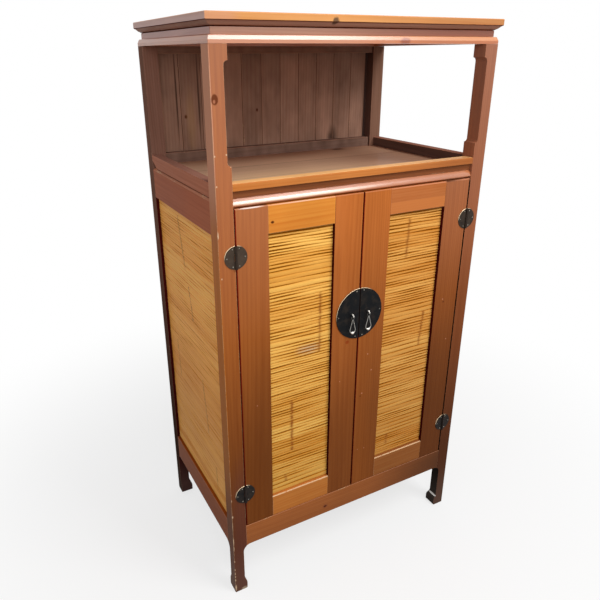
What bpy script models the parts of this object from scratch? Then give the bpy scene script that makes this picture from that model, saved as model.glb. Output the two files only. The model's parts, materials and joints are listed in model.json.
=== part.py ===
"""Tall bamboo cabinet: two panelled doors below, an open bay above, on four hoofed posts.

Metres, +Z up. The front faces -Y, and the origin is on the floor under the middle of the whole cabinet.
"""
import math

import bmesh
import bpy
from mathutils import Matrix, Vector

# Frame and posts
FRAME_WIDTH = 0.780
FRAME_DEPTH = 0.510
POST_SIDE = 0.040
LEG_RELIEF = 0.0095
HOOF_INSET = 0.002
HOOF_HEIGHT = 0.046
HOOF_SHOULDER = 0.024
HOOF_TOE_RADIUS = 0.005
BAY_RELIEF_DEPTH = 0.009
BAY_RELIEF_FOOT = 0.037
BAY_RELIEF_HEAD = 0.031

# Heights, from the floor up
FLOOR_TO_RAILS = 0.163
APRON_HEIGHT = 0.068
DOOR_OPENING_HEIGHT = 0.902
BEAD_HEIGHT = 0.0205
WAIST_HEIGHT = 0.017
SHELF_RAIL_HEIGHT = 0.0165
BAY_HEIGHT = 0.279
TOP_RAIL_HEIGHT = 0.0165
FRIEZE_HEIGHT = 0.0155
TOP_MOULDING_HEIGHT = 0.010
TOP_LIP_HEIGHT = 0.015

# Rails and panels
SPANDREL_RADIUS = 0.022
APRON_THICKNESS = 0.025
BEAD_DEPTH = 0.032
BEAD_NOSE_RADIUS = 0.0095
DOOR_STOP_DROP = 0.012
WAIST_RECESS = 0.008
WAIST_THICKNESS = 0.012
SHELF_RAIL_DEPTH = 0.028
SHELF_RAIL_ROUND = 0.004
SIDE_RAIL_THICKNESS = 0.025
SIDE_UPPER_RAIL_HEIGHT = 0.0825
SIDE_BOTTOM_RAIL_HEIGHT = 0.080
SIDE_SEAM_ABOVE_PANEL = 0.0045
REAR_RAIL_THICKNESS = 0.025
REAR_SHELF_RAIL_HEIGHT = 0.085
REAR_BAY_RAIL_HEIGHT = 0.019
TRAY_DEPTH = 0.029
SHELF_PANEL_THICKNESS = 0.012
BOTTOM_BOARD_THICKNESS = 0.012
PANEL_LAP = 0.012
CHIP_LENGTH = 0.039
CHIP_HEIGHT = 0.0175
CHIP_DEPTH = 0.0075

# Back
BACK_THICKNESS = 0.008
BACK_BOARD_WIDTH = 0.0636
BACK_SEAM_WIDTH = 0.003
BACK_SEAM_DEPTH = 0.002
BACK_SPLIT_LAP = 0.040

# Top
TOP_OVERHANG = 0.0058
TOP_FOOT_INSET = 0.0075
TOP_EDGE_ROUND = 0.002
TOP_RAIL_DEPTH = 0.040
TOP_RAIL_ROUND = 0.006
FRIEZE_INSET = 0.009
FRIEZE_THICKNESS = 0.015

# Inner shelf
INNER_SHELF_HEIGHT = 0.665
INNER_SHELF_THICKNESS = 0.015
CLEAT_WIDTH = 0.018
CLEAT_HEIGHT = 0.022
CLEAT_SETBACK = 0.026

# Doors
DOOR_THICKNESS = 0.020
DOOR_SIDE_GAP = 0.0025
DOOR_CENTRE_GAP = 0.003
DOOR_HEAD_GAP = 0.002
DOOR_FOOT_GAP = 0.0025
STILE_WIDTH = 0.082
DOOR_TOP_RAIL_HEIGHT = 0.067
DOOR_BOTTOM_RAIL_HEIGHT = 0.066
DOOR_PANEL_RECESS = 0.009

# Bamboo panels: split slats on a thin backing board that sits in a groove
SIDE_PANEL_RECESS = 0.008
SLAT_PITCH = 0.0075
SLAT_HEIGHT = 0.003
SLAT_CHAMFER = 0.0014
SLAT_ROOT = 0.001
BACKING_THICKNESS = 0.005
GROOVE_DEPTH = 0.007

# Stub tenons
TENON_LENGTH = 0.012
TENON_THICKNESS = 0.009
TENON_SHOULDER = 0.004

# Hinges
HINGE_RADIUS = 0.0285
HINGE_LEAF_THICKNESS = 0.0015
HINGE_BARREL_RADIUS = 0.0032
HINGE_BARREL_SHY = 0.001
HINGE_PIN_RADIUS = 0.0016
HINGE_PIN_PLAY = 0.0001
HINGE_KNUCKLE_GAP = 0.0004
HINGE_LEAF_EDGE = 0.002
HINGE_FROM_DOOR_END = 0.111
HINGE_NAIL_RING = 0.0225
HINGE_NAIL_TURN = 68.0

# Nails
NAIL_HEAD_RADIUS = 0.0022
NAIL_TIP_RADIUS = 0.0012
NAIL_HEAD_HEIGHT = 0.001

# Lock plate, staples and pulls
LOCK_RADIUS = 0.0725
LOCK_THICKNESS = 0.002
LOCK_HEIGHT = 0.806
LOCK_NAIL_RING = 0.066
LOCK_NAIL_TURN = 80.0
STAPLE_SPREAD = 0.0255
STAPLE_WIRE_RADIUS = 0.0013
STAPLE_HALF_GAP = 0.0033
STAPLE_LENGTH = 0.0115
PULL_WIRE_RADIUS = 0.0012
PULL_BULB_RADIUS = 0.0038
PULL_EYE_RADIUS = 0.0046
PULL_NECK_RADIUS = 0.0014
PULL_LOW_RADIUS = 0.0085
PULL_LENGTH = 0.048

# Clearances
SEAT_GAP = 0.0003
CUT_MARGIN = 0.001
UNION_LAP = 0.002

# Segment counts
ARC_STEPS = 6
DISC_STEPS = 28
ROUND_SEGMENTS = 24
NAIL_SEGMENTS = 8
WIRE_RESOLUTION = 2

# Levels worked out from the heights
APRON_TOP = FLOOR_TO_RAILS + APRON_HEIGHT
BEAD_FOOT = APRON_TOP + DOOR_OPENING_HEIGHT
BEAD_TOP = BEAD_FOOT + BEAD_HEIGHT
SHELF_RAIL_FOOT = BEAD_TOP + WAIST_HEIGHT
SHELF_TOP = SHELF_RAIL_FOOT + SHELF_RAIL_HEIGHT
BAY_TOP = SHELF_TOP + BAY_HEIGHT
FRIEZE_FOOT = BAY_TOP + TOP_RAIL_HEIGHT
TOP_FOOT = FRIEZE_FOOT + FRIEZE_HEIGHT
LIP_FOOT = TOP_FOOT + TOP_MOULDING_HEIGHT
SHELF_PANEL_TOP = SHELF_TOP - TRAY_DEPTH
SHELF_PANEL_FOOT = SHELF_PANEL_TOP - SHELF_PANEL_THICKNESS
SIDE_SEAM = SHELF_PANEL_FOOT + SIDE_SEAM_ABOVE_PANEL
SIDE_PANEL_HEAD = SIDE_SEAM - SIDE_UPPER_RAIL_HEIGHT
SIDE_PANEL_FOOT = FLOOR_TO_RAILS + SIDE_BOTTOM_RAIL_HEIGHT
REAR_SHELF_RAIL_FOOT = SHELF_TOP - REAR_SHELF_RAIL_HEIGHT
BACK_SPLIT = REAR_SHELF_RAIL_FOOT + BACK_SPLIT_LAP
DOOR_FOOT = APRON_TOP + DOOR_FOOT_GAP
DOOR_HEAD = BEAD_FOOT - DOOR_HEAD_GAP
DOOR_PANEL_FOOT = DOOR_FOOT + DOOR_BOTTOM_RAIL_HEIGHT
DOOR_PANEL_HEAD = DOOR_HEAD - DOOR_TOP_RAIL_HEIGHT

# Plan positions worked out from the sizes
LOCK_FACE = SEAT_GAP + LOCK_THICKNESS
STAPLE_TIP = LOCK_FACE + SEAT_GAP + STAPLE_LENGTH
FRONT_Y = (STAPLE_TIP - TOP_OVERHANG - FRAME_DEPTH) / 2
BACK_Y = FRONT_Y + FRAME_DEPTH
HALF_WIDTH = FRAME_WIDTH / 2
INNER_X = HALF_WIDTH - POST_SIDE
FRONT_POST_REAR = FRONT_Y + POST_SIDE
REAR_POST_FRONT = BACK_Y - POST_SIDE
SIDE_RAIL_INNER_X = HALF_WIDTH - SIDE_RAIL_THICKNESS
BACK_FACE_Y = BACK_Y - BACK_THICKNESS
REAR_RAIL_REAR = BACK_FACE_Y - SEAT_GAP
REAR_RAIL_FRONT = REAR_RAIL_REAR - REAR_RAIL_THICKNESS
LEG_SIDE = POST_SIDE - LEG_RELIEF
HOOF_SIDE = POST_SIDE - HOOF_INSET
SPANDREL_U = LEG_SIDE + SPANDREL_RADIUS
SPANDREL_Z = FLOOR_TO_RAILS - SPANDREL_RADIUS
HINGE_X = INNER_X - DOOR_SIDE_GAP / 2
HINGE_Y = FRONT_Y - SEAT_GAP - HINGE_BARREL_RADIUS
PULL_AXIS_Y = FRONT_Y - STAPLE_TIP + 2 * STAPLE_WIRE_RADIUS + PULL_WIRE_RADIUS + SEAT_GAP
SIDES = (("left", -1), ("right", 1))

MILLIMETRE = 0.001
WELD = 1e-6

# Finishes: colour, roughness, metallic
FINISHES = {
    "post_wood": ((0.44, 0.17, 0.075), 0.45, 0.0),
    "rail_wood": ((0.42, 0.16, 0.07), 0.45, 0.0),
    "pale_wood": ((0.62, 0.28, 0.09), 0.45, 0.0),
    "shelf_wood": ((0.30, 0.18, 0.11), 0.55, 0.0),
    "back_wood": ((0.13, 0.06, 0.035), 0.60, 0.0),
    "bamboo": ((0.62, 0.36, 0.10), 0.50, 0.0),
    "dark_iron": ((0.02, 0.02, 0.022), 0.45, 0.9),
    "pull_metal": ((0.45, 0.42, 0.36), 0.30, 1.0),
}


def clear_scene():
    """Remove whatever the file held."""
    for old in list(bpy.data.objects):
        bpy.data.objects.remove(old, do_unlink=True)


def new_collection(name):
    """Make a collection in the scene."""
    collection = bpy.data.collections.new(name)
    bpy.context.scene.collection.children.link(collection)
    return collection


def new_material(name, colour, roughness, metallic):
    """Make a plain material for a part."""
    material = bpy.data.materials.new(name)
    material.use_nodes = True
    shader = material.node_tree.nodes["Principled BSDF"]
    shader.inputs["Base Color"].default_value = (*colour, 1.0)
    shader.inputs["Roughness"].default_value = roughness
    shader.inputs["Metallic"].default_value = metallic
    return material


class Workshop:
    """Holds the collections and gives every part its place, material and parent."""

    def __init__(self):
        self.parts = new_collection("bamboo_cabinet")
        self.cutters = new_collection("cutters")

    def place(self, obj, mesh, pivot):
        """Put an object's origin at the middle of its mesh, and hang it on its pivot if it has one."""
        xs, ys, zs = zip(*(vert.co for vert in mesh.vertices))
        middle = Vector((min(axis) + max(axis)) / 2 for axis in (xs, ys, zs))
        mesh.transform(Matrix.Translation(-middle))
        obj.location = middle
        if pivot:
            obj.parent = pivot
            obj.location -= pivot.location

    def part(self, name, mesh, finish, pivot=None):
        """Add a named part made from a mesh drawn at its place in the cabinet."""
        mesh.name = name
        mesh.materials.append(new_material(name, *FINISHES[finish]))
        obj = bpy.data.objects.new(name, mesh)
        self.parts.objects.link(obj)
        self.place(obj, mesh, pivot)
        return obj

    def cutter(self, name, mesh, pivot=None):
        """Add a guide solid that only shapes other parts."""
        mesh.name = name
        obj = bpy.data.objects.new(name, mesh)
        obj.display_type = "WIRE"
        obj.hide_render = True
        self.cutters.objects.link(obj)
        self.place(obj, mesh, pivot)
        return obj

    def turned(self, name, profile, closed, axis_place, pivot=None):
        """Add a guide solid turned from (radius, height) points, top to bottom, about an upright axis."""
        mesh = bpy.data.meshes.new(name)
        bm = bmesh.new()
        verts = [bm.verts.new((radius, 0.0, height)) for radius, height in profile]
        ends = verts[1:] + verts[:1] if closed else verts[1:]
        for pair in zip(verts, ends):
            bm.edges.new(pair)
        bm.to_mesh(mesh)
        bm.free()
        obj = bpy.data.objects.new(name, mesh)
        obj.display_type = "WIRE"
        obj.hide_render = True
        self.cutters.objects.link(obj)
        obj.location = axis_place
        if pivot:
            obj.parent = pivot
            obj.location -= pivot.location
        screw = obj.modifiers.new("turn", "SCREW")
        screw.axis = "Z"
        screw.steps = ROUND_SEGMENTS
        screw.render_steps = ROUND_SEGMENTS
        screw.use_merge_vertices = True
        screw.merge_threshold = WELD
        return obj

    def pivot(self, name, place):
        """Add an empty on a joint's axis."""
        empty = bpy.data.objects.new(name, None)
        empty.location = place
        empty.empty_display_size = HINGE_RADIUS
        self.parts.objects.link(empty)
        bpy.context.view_layer.update()
        return empty


def boolean(target, tool, operation):
    """Shape a part with a guide solid."""
    modifier = target.modifiers.new(tool.name, "BOOLEAN")
    modifier.operation = operation
    modifier.object = tool
    modifier.solver = "EXACT"


def mesh_of(bm):
    """Turn a bmesh into a mesh with its faces pointing out."""
    bmesh.ops.recalc_face_normals(bm, faces=bm.faces)
    if bm.calc_volume(signed=True) < 0:
        bmesh.ops.reverse_faces(bm, faces=bm.faces)
    mesh = bpy.data.meshes.new("shape")
    bm.to_mesh(mesh)
    bm.free()
    mesh.shade_flat()
    return mesh


def add_box(bm, low, high):
    """Add a box between two corners to a bmesh."""
    cube = bmesh.ops.create_cube(bm, size=1.0)
    for vert in cube["verts"]:
        for axis in range(3):
            middle = (low[axis] + high[axis]) / 2
            vert.co[axis] = middle + vert.co[axis] * (high[axis] - low[axis])


def boxes(corner_pairs):
    """Make one mesh of separate boxes."""
    bm = bmesh.new()
    for low, high in corner_pairs:
        add_box(bm, low, high)
    return mesh_of(bm)


def mesh_from_curve(curve):
    """Turn a curve into a closed mesh and remove the curve."""
    obj = bpy.data.objects.new("curve", curve)
    bpy.context.scene.collection.objects.link(obj)
    evaluated = obj.evaluated_get(bpy.context.evaluated_depsgraph_get())
    mesh = bpy.data.meshes.new_from_object(evaluated)
    bpy.data.objects.remove(obj, do_unlink=True)
    bpy.data.curves.remove(curve)
    return mesh


def prism(outline, low, high, axis):
    """Extrude a closed outline along an axis from low to high.

    The outline is in (y, z) along X, in (x, z) along Y and in (x, y) along Z. It is drawn in millimetres,
    so that its fill keeps the fine steps.
    """
    curve = bpy.data.curves.new("outline", "CURVE")
    curve.dimensions = "2D"
    curve.fill_mode = "BOTH"
    curve.extrude = (high - low) / 2 / MILLIMETRE
    spline = curve.splines.new("POLY")
    spline.points.add(len(outline) - 1)
    for point, (u, v) in zip(spline.points, outline):
        point.co = (u / MILLIMETRE, v / MILLIMETRE, 0.0, 1.0)
    spline.use_cyclic_u = True
    mesh = mesh_from_curve(curve)
    bm = bmesh.new()
    bm.from_mesh(mesh)
    bpy.data.meshes.remove(mesh)
    middle = (low + high) / 2
    for vert in bm.verts:
        u, v, w = (value * MILLIMETRE for value in vert.co)
        w += middle
        vert.co = {"X": (w, u, v), "Y": (u, w, v), "Z": (u, v, w)}[axis]
    bmesh.ops.remove_doubles(bm, verts=bm.verts, dist=WELD)
    return mesh_of(bm)


def arc(centre, radius, start, end, steps=ARC_STEPS):
    """Points on an arc, in degrees, both ends included."""
    points = []
    for step in range(steps + 1):
        angle = math.radians(start + (end - start) * step / steps)
        points.append((centre[0] + radius * math.cos(angle), centre[1] + radius * math.sin(angle)))
    return points


def rectangle(low, high):
    """Outline of a rectangle."""
    return [low, (high[0], low[1]), high, (low[0], high[1])]


def wire(points, radii, cyclic):
    """A round wire along points, with a radius at each."""
    thickest = max(radii)
    curve = bpy.data.curves.new("wire", "CURVE")
    curve.dimensions = "3D"
    curve.bevel_depth = thickest / MILLIMETRE
    curve.bevel_resolution = WIRE_RESOLUTION
    curve.use_fill_caps = True
    spline = curve.splines.new("POLY")
    spline.points.add(len(points) - 1)
    for point, place, radius in zip(spline.points, points, radii):
        point.co = (*(value / MILLIMETRE for value in place), 1.0)
        point.radius = radius / thickest
    spline.use_cyclic_u = cyclic
    mesh = mesh_from_curve(curve)
    bm = bmesh.new()
    bm.from_mesh(mesh)
    bpy.data.meshes.remove(mesh)
    bmesh.ops.scale(bm, verts=bm.verts, vec=(MILLIMETRE, MILLIMETRE, MILLIMETRE))
    bmesh.ops.remove_doubles(bm, verts=bm.verts, dist=WELD)
    mesh = mesh_of(bm)
    mesh.shade_smooth()
    return mesh


def grown(corners, amount):
    """A box's corners moved outwards by an amount."""
    low, high = corners
    return tuple(value - amount for value in low), tuple(value + amount for value in high)


def post_outline(top, relief, margin=0.0):
    """Silhouette of a post in (distance from its outer face, height), with its leg, hoof and bay relief."""
    points = [(-margin, -margin), (HOOF_SIDE - HOOF_TOE_RADIUS, -margin)]
    points += arc((HOOF_SIDE - HOOF_TOE_RADIUS, HOOF_TOE_RADIUS), HOOF_TOE_RADIUS, -90, 0)
    for step in range(ARC_STEPS + 1):
        share = step / ARC_STEPS
        ease = share * share * (3 - 2 * share)
        height = HOOF_HEIGHT - HOOF_SHOULDER * (1 - share)
        points.append((HOOF_SIDE + (LEG_SIDE - HOOF_SIDE) * ease, height))
    turn = math.degrees(math.acos((SPANDREL_U - POST_SIDE) / SPANDREL_RADIUS))
    points += arc((SPANDREL_U, SPANDREL_Z), SPANDREL_RADIUS, 180, 180 - turn)
    if relief:
        foot = SHELF_TOP + BAY_RELIEF_FOOT
        head = BAY_TOP - BAY_RELIEF_HEAD
        points.append((POST_SIDE, foot))
        points += arc((POST_SIDE, foot + BAY_RELIEF_DEPTH), BAY_RELIEF_DEPTH, 270, 180)[1:]
        points += arc((POST_SIDE, head - BAY_RELIEF_DEPTH), BAY_RELIEF_DEPTH, 180, 90)
    points += [(POST_SIDE, top + margin), (-margin, top + margin)]
    return points


def spandrel_ends(low, high):
    """Underside of a bottom rail from its low end to its high end, with the curve that runs into each leg."""
    reach = POST_SIDE + SEAT_GAP
    turn = math.degrees(math.acos((SPANDREL_U - reach) / SPANDREL_RADIUS))
    near = low - reach
    far = high + reach
    points = arc((near + SPANDREL_U, SPANDREL_Z), SPANDREL_RADIUS, 180 - turn, 90)
    points += arc((far - SPANDREL_U, SPANDREL_Z), SPANDREL_RADIUS, 90, turn)
    return points


class Joinery:
    """Collects the mortises and grooves of each post while the rails are made."""

    def __init__(self, shop):
        self.shop = shop
        self.cuts = {}

    def tenon(self, rail, corners, lap_axis, post):
        """Give a rail a stub tenon, and the post its mortise."""
        low, high = (list(corner) for corner in corners)
        if lap_axis[1] > 0:
            low[lap_axis[0]] -= UNION_LAP
        else:
            high[lap_axis[0]] += UNION_LAP
        tool = self.shop.cutter(rail.name + "_tenon_" + post, boxes([(low, high)]))
        boolean(rail, tool, "UNION")
        self.cuts.setdefault(post, []).append(grown(corners, SEAT_GAP))

    def groove(self, post, corners):
        """Give a post a groove for a panel's edge."""
        self.cuts.setdefault(post, []).append(corners)

    def across(self, rail, row, y_middle, foot, head):
        """Tenon a front or rear rail into the posts at both its ends."""
        for side, sign in SIDES:
            inner = sign * (INNER_X - SEAT_GAP)
            tip = sign * (INNER_X + TENON_LENGTH)
            low = (min(inner, tip), y_middle - TENON_THICKNESS / 2, foot + TENON_SHOULDER)
            high = (max(inner, tip), y_middle + TENON_THICKNESS / 2, head - TENON_SHOULDER)
            self.tenon(rail, (low, high), (0, sign), row + "_" + side + "_post")

    def along(self, rail, side, sign, foot, head):
        """Tenon a side rail into the front and rear posts."""
        middle = sign * (HALF_WIDTH - SIDE_RAIL_THICKNESS / 2)
        ends = (("front", -1, FRONT_POST_REAR + SEAT_GAP, FRONT_POST_REAR - TENON_LENGTH),
                ("rear", 1, REAR_POST_FRONT - SEAT_GAP, REAR_POST_FRONT + TENON_LENGTH))
        for row, way, root, tip in ends:
            low = (middle - TENON_THICKNESS / 2, min(root, tip), foot + TENON_SHOULDER)
            high = (middle + TENON_THICKNESS / 2, max(root, tip), head - TENON_SHOULDER)
            self.tenon(rail, (low, high), (1, way), row + "_" + side + "_post")

    def cut_posts(self, posts):
        """Cut what was collected into the posts."""
        for name, corners in self.cuts.items():
            tool = self.shop.cutter(name + "_mortises", boxes(corners))
            boolean(posts[name], tool, "DIFFERENCE")


def make_posts(shop):
    """Four posts, each where its front and side silhouettes meet."""
    posts = {}
    top = BAY_TOP - SEAT_GAP
    for row, way, outer_y in (("front", 1, FRONT_Y), ("rear", -1, BACK_Y)):
        for side, sign in SIDES:
            name = row + "_" + side + "_post"
            across = [(sign * (HALF_WIDTH - u), z) for u, z in post_outline(top, row == "front")]
            along = [(outer_y + way * u, z) for u, z in post_outline(top, False, CUT_MARGIN)]
            y_ends = sorted((outer_y, outer_y + way * (POST_SIDE + CUT_MARGIN)))
            x_ends = sorted((sign * (HALF_WIDTH + CUT_MARGIN), sign * (INNER_X - CUT_MARGIN)))
            post = shop.part(name, prism(across, *y_ends, "Y"), "post_wood")
            tool = shop.cutter(name + "_side_shape", prism(along, *x_ends, "X"))
            boolean(post, tool, "INTERSECT")
            posts[name] = post
    return posts


def make_front_rails(shop, joinery):
    """Apron, bead rail, waist strip and front shelf rail."""
    end = INNER_X - SEAT_GAP
    outline = spandrel_ends(-end, end) + [(end, APRON_TOP), (-end, APRON_TOP)]
    apron = shop.part("front_apron", prism(outline, FRONT_Y, FRONT_Y + APRON_THICKNESS, "Y"), "rail_wood")
    rebate = shop.cutter("front_apron_rebate", boxes([(
        (-INNER_X, FRONT_Y + APRON_THICKNESS - PANEL_LAP, APRON_TOP - BOTTOM_BOARD_THICKNESS - SEAT_GAP),
        (INNER_X, FRONT_Y + APRON_THICKNESS + CUT_MARGIN, APRON_TOP + CUT_MARGIN))]))
    boolean(apron, rebate, "DIFFERENCE")
    joinery.across(apron, "front", FRONT_Y + (APRON_THICKNESS - PANEL_LAP) / 2, FLOOR_TO_RAILS, APRON_TOP)

    nose = FRONT_Y + BEAD_NOSE_RADIUS
    step = FRONT_Y + WAIST_RECESS + WAIST_THICKNESS
    rear = FRONT_Y + BEAD_DEPTH
    stop = FRONT_Y + DOOR_THICKNESS + SEAT_GAP
    seat = SHELF_PANEL_FOOT - SEAT_GAP
    section = arc((nose, BEAD_FOOT + BEAD_NOSE_RADIUS), BEAD_NOSE_RADIUS, 270, 180)
    section += arc((nose, BEAD_TOP - BEAD_NOSE_RADIUS), BEAD_NOSE_RADIUS, 180, 90)
    section += [(step, BEAD_TOP), (step, seat), (rear, seat), (rear, BEAD_FOOT - DOOR_STOP_DROP),
                (stop, BEAD_FOOT - DOOR_STOP_DROP), (stop, BEAD_FOOT)]
    bead = shop.part("front_bead_rail", prism(section, -end, end, "X"), "rail_wood")
    joinery.across(bead, "front", (FRONT_Y + step) / 2, BEAD_FOOT, BEAD_TOP)

    waist = boxes([((-end, FRONT_Y + WAIST_RECESS, BEAD_TOP + SEAT_GAP),
                    (end, step - SEAT_GAP, SHELF_RAIL_FOOT - SEAT_GAP))])
    shop.part("front_waist_strip", waist, "rail_wood")

    rear = FRONT_Y + SHELF_RAIL_DEPTH
    section = [(FRONT_Y, SHELF_RAIL_FOOT), (rear, SHELF_RAIL_FOOT), (rear, SHELF_TOP)]
    section += arc((FRONT_Y + SHELF_RAIL_ROUND, SHELF_TOP - SHELF_RAIL_ROUND), SHELF_RAIL_ROUND, 90, 180)
    rail = shop.part("front_shelf_rail", prism(section, -end, end, "X"), "pale_wood")
    joinery.across(rail, "front", FRONT_Y + SHELF_RAIL_DEPTH / 2, SHELF_RAIL_FOOT, SHELF_TOP)


def make_rear_rails(shop, joinery):
    """Rear bottom rail, rear shelf rail with its panel groove, and the rail at the top of the bay."""
    end = INNER_X - SEAT_GAP
    middle = (REAR_RAIL_FRONT + REAR_RAIL_REAR) / 2
    outline = spandrel_ends(-end, end) + [(end, APRON_TOP), (-end, APRON_TOP)]
    low_rail = shop.part("rear_bottom_rail", prism(outline, REAR_RAIL_FRONT, REAR_RAIL_REAR, "Y"),
                         "rail_wood")
    rebate = shop.cutter("rear_bottom_rail_rebate", boxes([(
        (-INNER_X, REAR_RAIL_FRONT - CUT_MARGIN, APRON_TOP - BOTTOM_BOARD_THICKNESS - SEAT_GAP),
        (INNER_X, REAR_RAIL_FRONT + PANEL_LAP, APRON_TOP + CUT_MARGIN))]))
    boolean(low_rail, rebate, "DIFFERENCE")
    joinery.across(low_rail, "rear", REAR_RAIL_REAR - (REAR_RAIL_THICKNESS - PANEL_LAP) / 2,
                   FLOOR_TO_RAILS, APRON_TOP)

    groove = REAR_RAIL_FRONT + GROOVE_DEPTH
    section = [(REAR_RAIL_FRONT, REAR_SHELF_RAIL_FOOT), (REAR_RAIL_REAR, REAR_SHELF_RAIL_FOOT),
               (REAR_RAIL_REAR, SHELF_TOP), (REAR_RAIL_FRONT, SHELF_TOP),
               (REAR_RAIL_FRONT, SHELF_PANEL_TOP + SEAT_GAP), (groove, SHELF_PANEL_TOP + SEAT_GAP),
               (groove, SHELF_PANEL_FOOT - SEAT_GAP), (REAR_RAIL_FRONT, SHELF_PANEL_FOOT - SEAT_GAP)]
    shelf_rail = shop.part("rear_shelf_rail", prism(section, -end, end, "X"), "rail_wood")
    joinery.across(shelf_rail, "rear", (groove + REAR_RAIL_REAR) / 2, REAR_SHELF_RAIL_FOOT, SHELF_TOP)

    bay_foot = BAY_TOP - REAR_BAY_RAIL_HEIGHT
    bay_head = BAY_TOP - SEAT_GAP
    bay_rail = shop.part("rear_bay_rail", boxes([((-end, REAR_RAIL_FRONT, bay_foot),
                                                  (end, REAR_RAIL_REAR, bay_head))]), "rail_wood")
    joinery.across(bay_rail, "rear", middle, bay_foot, bay_head)


def side_section(sign, points):
    """A side rail's section, given in (distance from the outer face, height), as (x, z)."""
    return [(sign * (HALF_WIDTH - depth), height) for depth, height in points]


def make_side_rails(shop, joinery):
    """Bottom, upper and shelf rails of both sides."""
    low, high = FRONT_POST_REAR + SEAT_GAP, REAR_POST_FRONT - SEAT_GAP
    backing_front = SIDE_PANEL_RECESS + SLAT_HEIGHT
    groove_front = backing_front - SEAT_GAP
    groove_rear = backing_front + BACKING_THICKNESS + SEAT_GAP
    lap = SIDE_RAIL_THICKNESS - PANEL_LAP
    for side, sign in SIDES:
        x_ends = sorted((sign * HALF_WIDTH, sign * SIDE_RAIL_INNER_X))
        groove_x = sorted((sign * (HALF_WIDTH - groove_front), sign * (HALF_WIDTH - groove_rear)))

        outline = spandrel_ends(low, high) + [(high, SIDE_PANEL_FOOT), (low, SIDE_PANEL_FOOT)]
        bottom = shop.part(side + "_bottom_rail", prism(outline, *x_ends, "X"), "rail_wood")
        tool = shop.cutter(side + "_bottom_rail_groove", boxes([(
            (groove_x[0], low - CUT_MARGIN, SIDE_PANEL_FOOT - GROOVE_DEPTH),
            (groove_x[1], high + CUT_MARGIN, SIDE_PANEL_FOOT + CUT_MARGIN))]))
        boolean(bottom, tool, "DIFFERENCE")
        joinery.along(bottom, side, sign, FLOOR_TO_RAILS, SIDE_PANEL_FOOT - GROOVE_DEPTH)

        seat = SHELF_PANEL_FOOT - SEAT_GAP
        section = side_section(sign, [
            (0.0, SIDE_PANEL_HEAD), (groove_front, SIDE_PANEL_HEAD),
            (groove_front, SIDE_PANEL_HEAD + GROOVE_DEPTH), (groove_rear, SIDE_PANEL_HEAD + GROOVE_DEPTH),
            (groove_rear, SIDE_PANEL_HEAD), (SIDE_RAIL_THICKNESS, SIDE_PANEL_HEAD),
            (SIDE_RAIL_THICKNESS, seat), (lap, seat), (lap, SIDE_SEAM), (0.0, SIDE_SEAM)])
        upper = shop.part(side + "_upper_rail", prism(section, low, high, "Y"), "rail_wood")
        joinery.along(upper, side, sign, SIDE_PANEL_HEAD + GROOVE_DEPTH, seat)

        rest = SHELF_PANEL_TOP + SEAT_GAP
        foot = SIDE_SEAM + SEAT_GAP
        section = side_section(sign, [(0.0, foot), (lap, foot), (lap, rest), (SIDE_RAIL_THICKNESS, rest),
                                      (SIDE_RAIL_THICKNESS, SHELF_TOP), (0.0, SHELF_TOP)])
        shelf_rail = shop.part(side + "_shelf_rail", prism(section, low, high, "Y"), "rail_wood")
        if side == "left":
            chip_shelf_rail(shop, shelf_rail, sign, high, foot)
        joinery.along(shelf_rail, side, sign, rest, SHELF_TOP)


def chip_shelf_rail(shop, rail, sign, rear, foot):
    """Break the wedge-shaped chip out of the rail's lower rear corner."""
    outline = [(rear - CHIP_LENGTH, foot - CUT_MARGIN), (rear + CUT_MARGIN, foot - CUT_MARGIN),
               (rear + CUT_MARGIN, foot + CHIP_HEIGHT)]
    x_ends = sorted((sign * (HALF_WIDTH + CUT_MARGIN), sign * (HALF_WIDTH - CHIP_DEPTH)))
    tool = shop.cutter(rail.name + "_chip", prism(outline, *x_ends, "X"))
    boolean(rail, tool, "DIFFERENCE")


def notched_plan(front, rear, wing):
    """Plan of a board that fills the space between the posts, with wings that reach out between them."""
    half = INNER_X - SEAT_GAP
    near = FRONT_POST_REAR + SEAT_GAP
    far = REAR_POST_FRONT - SEAT_GAP
    right = [(half, front), (half, near), (wing, near), (wing, far), (half, far), (half, rear)]
    return right + [(-x, y) for x, y in reversed(right)]


def make_boards(shop):
    """Shelf panel, bottom board, and the inner shelf on its cleats."""
    plan = notched_plan(FRONT_Y + WAIST_RECESS + WAIST_THICKNESS + SEAT_GAP,
                        REAR_RAIL_FRONT + GROOVE_DEPTH - SEAT_GAP,
                        SIDE_RAIL_INNER_X + PANEL_LAP - SEAT_GAP)
    shop.part("shelf_panel", prism(plan, SHELF_PANEL_FOOT, SHELF_PANEL_TOP, "Z"), "shelf_wood")

    plan = notched_plan(FRONT_Y + APRON_THICKNESS - PANEL_LAP + SEAT_GAP,
                        REAR_RAIL_FRONT + PANEL_LAP - SEAT_GAP, SIDE_RAIL_INNER_X - SEAT_GAP)
    shop.part("bottom_board", prism(plan, APRON_TOP - BOTTOM_BOARD_THICKNESS, APRON_TOP, "Z"), "rail_wood")

    front, rear = FRONT_Y + CLEAT_SETBACK, REAR_RAIL_FRONT - SEAT_GAP
    half = INNER_X - SEAT_GAP
    for side, sign in SIDES:
        x_ends = sorted((sign * half, sign * (half - CLEAT_WIDTH)))
        cleat = boxes([((x_ends[0], front, INNER_SHELF_HEIGHT - CLEAT_HEIGHT),
                        (x_ends[1], rear, INNER_SHELF_HEIGHT))])
        shop.part(side + "_shelf_cleat", cleat, "rail_wood")
    foot = INNER_SHELF_HEIGHT + SEAT_GAP
    shelf = boxes([((-half, front, foot), (half, rear, foot + INNER_SHELF_THICKNESS))])
    shop.part("inner_shelf", shelf, "shelf_wood")


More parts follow.
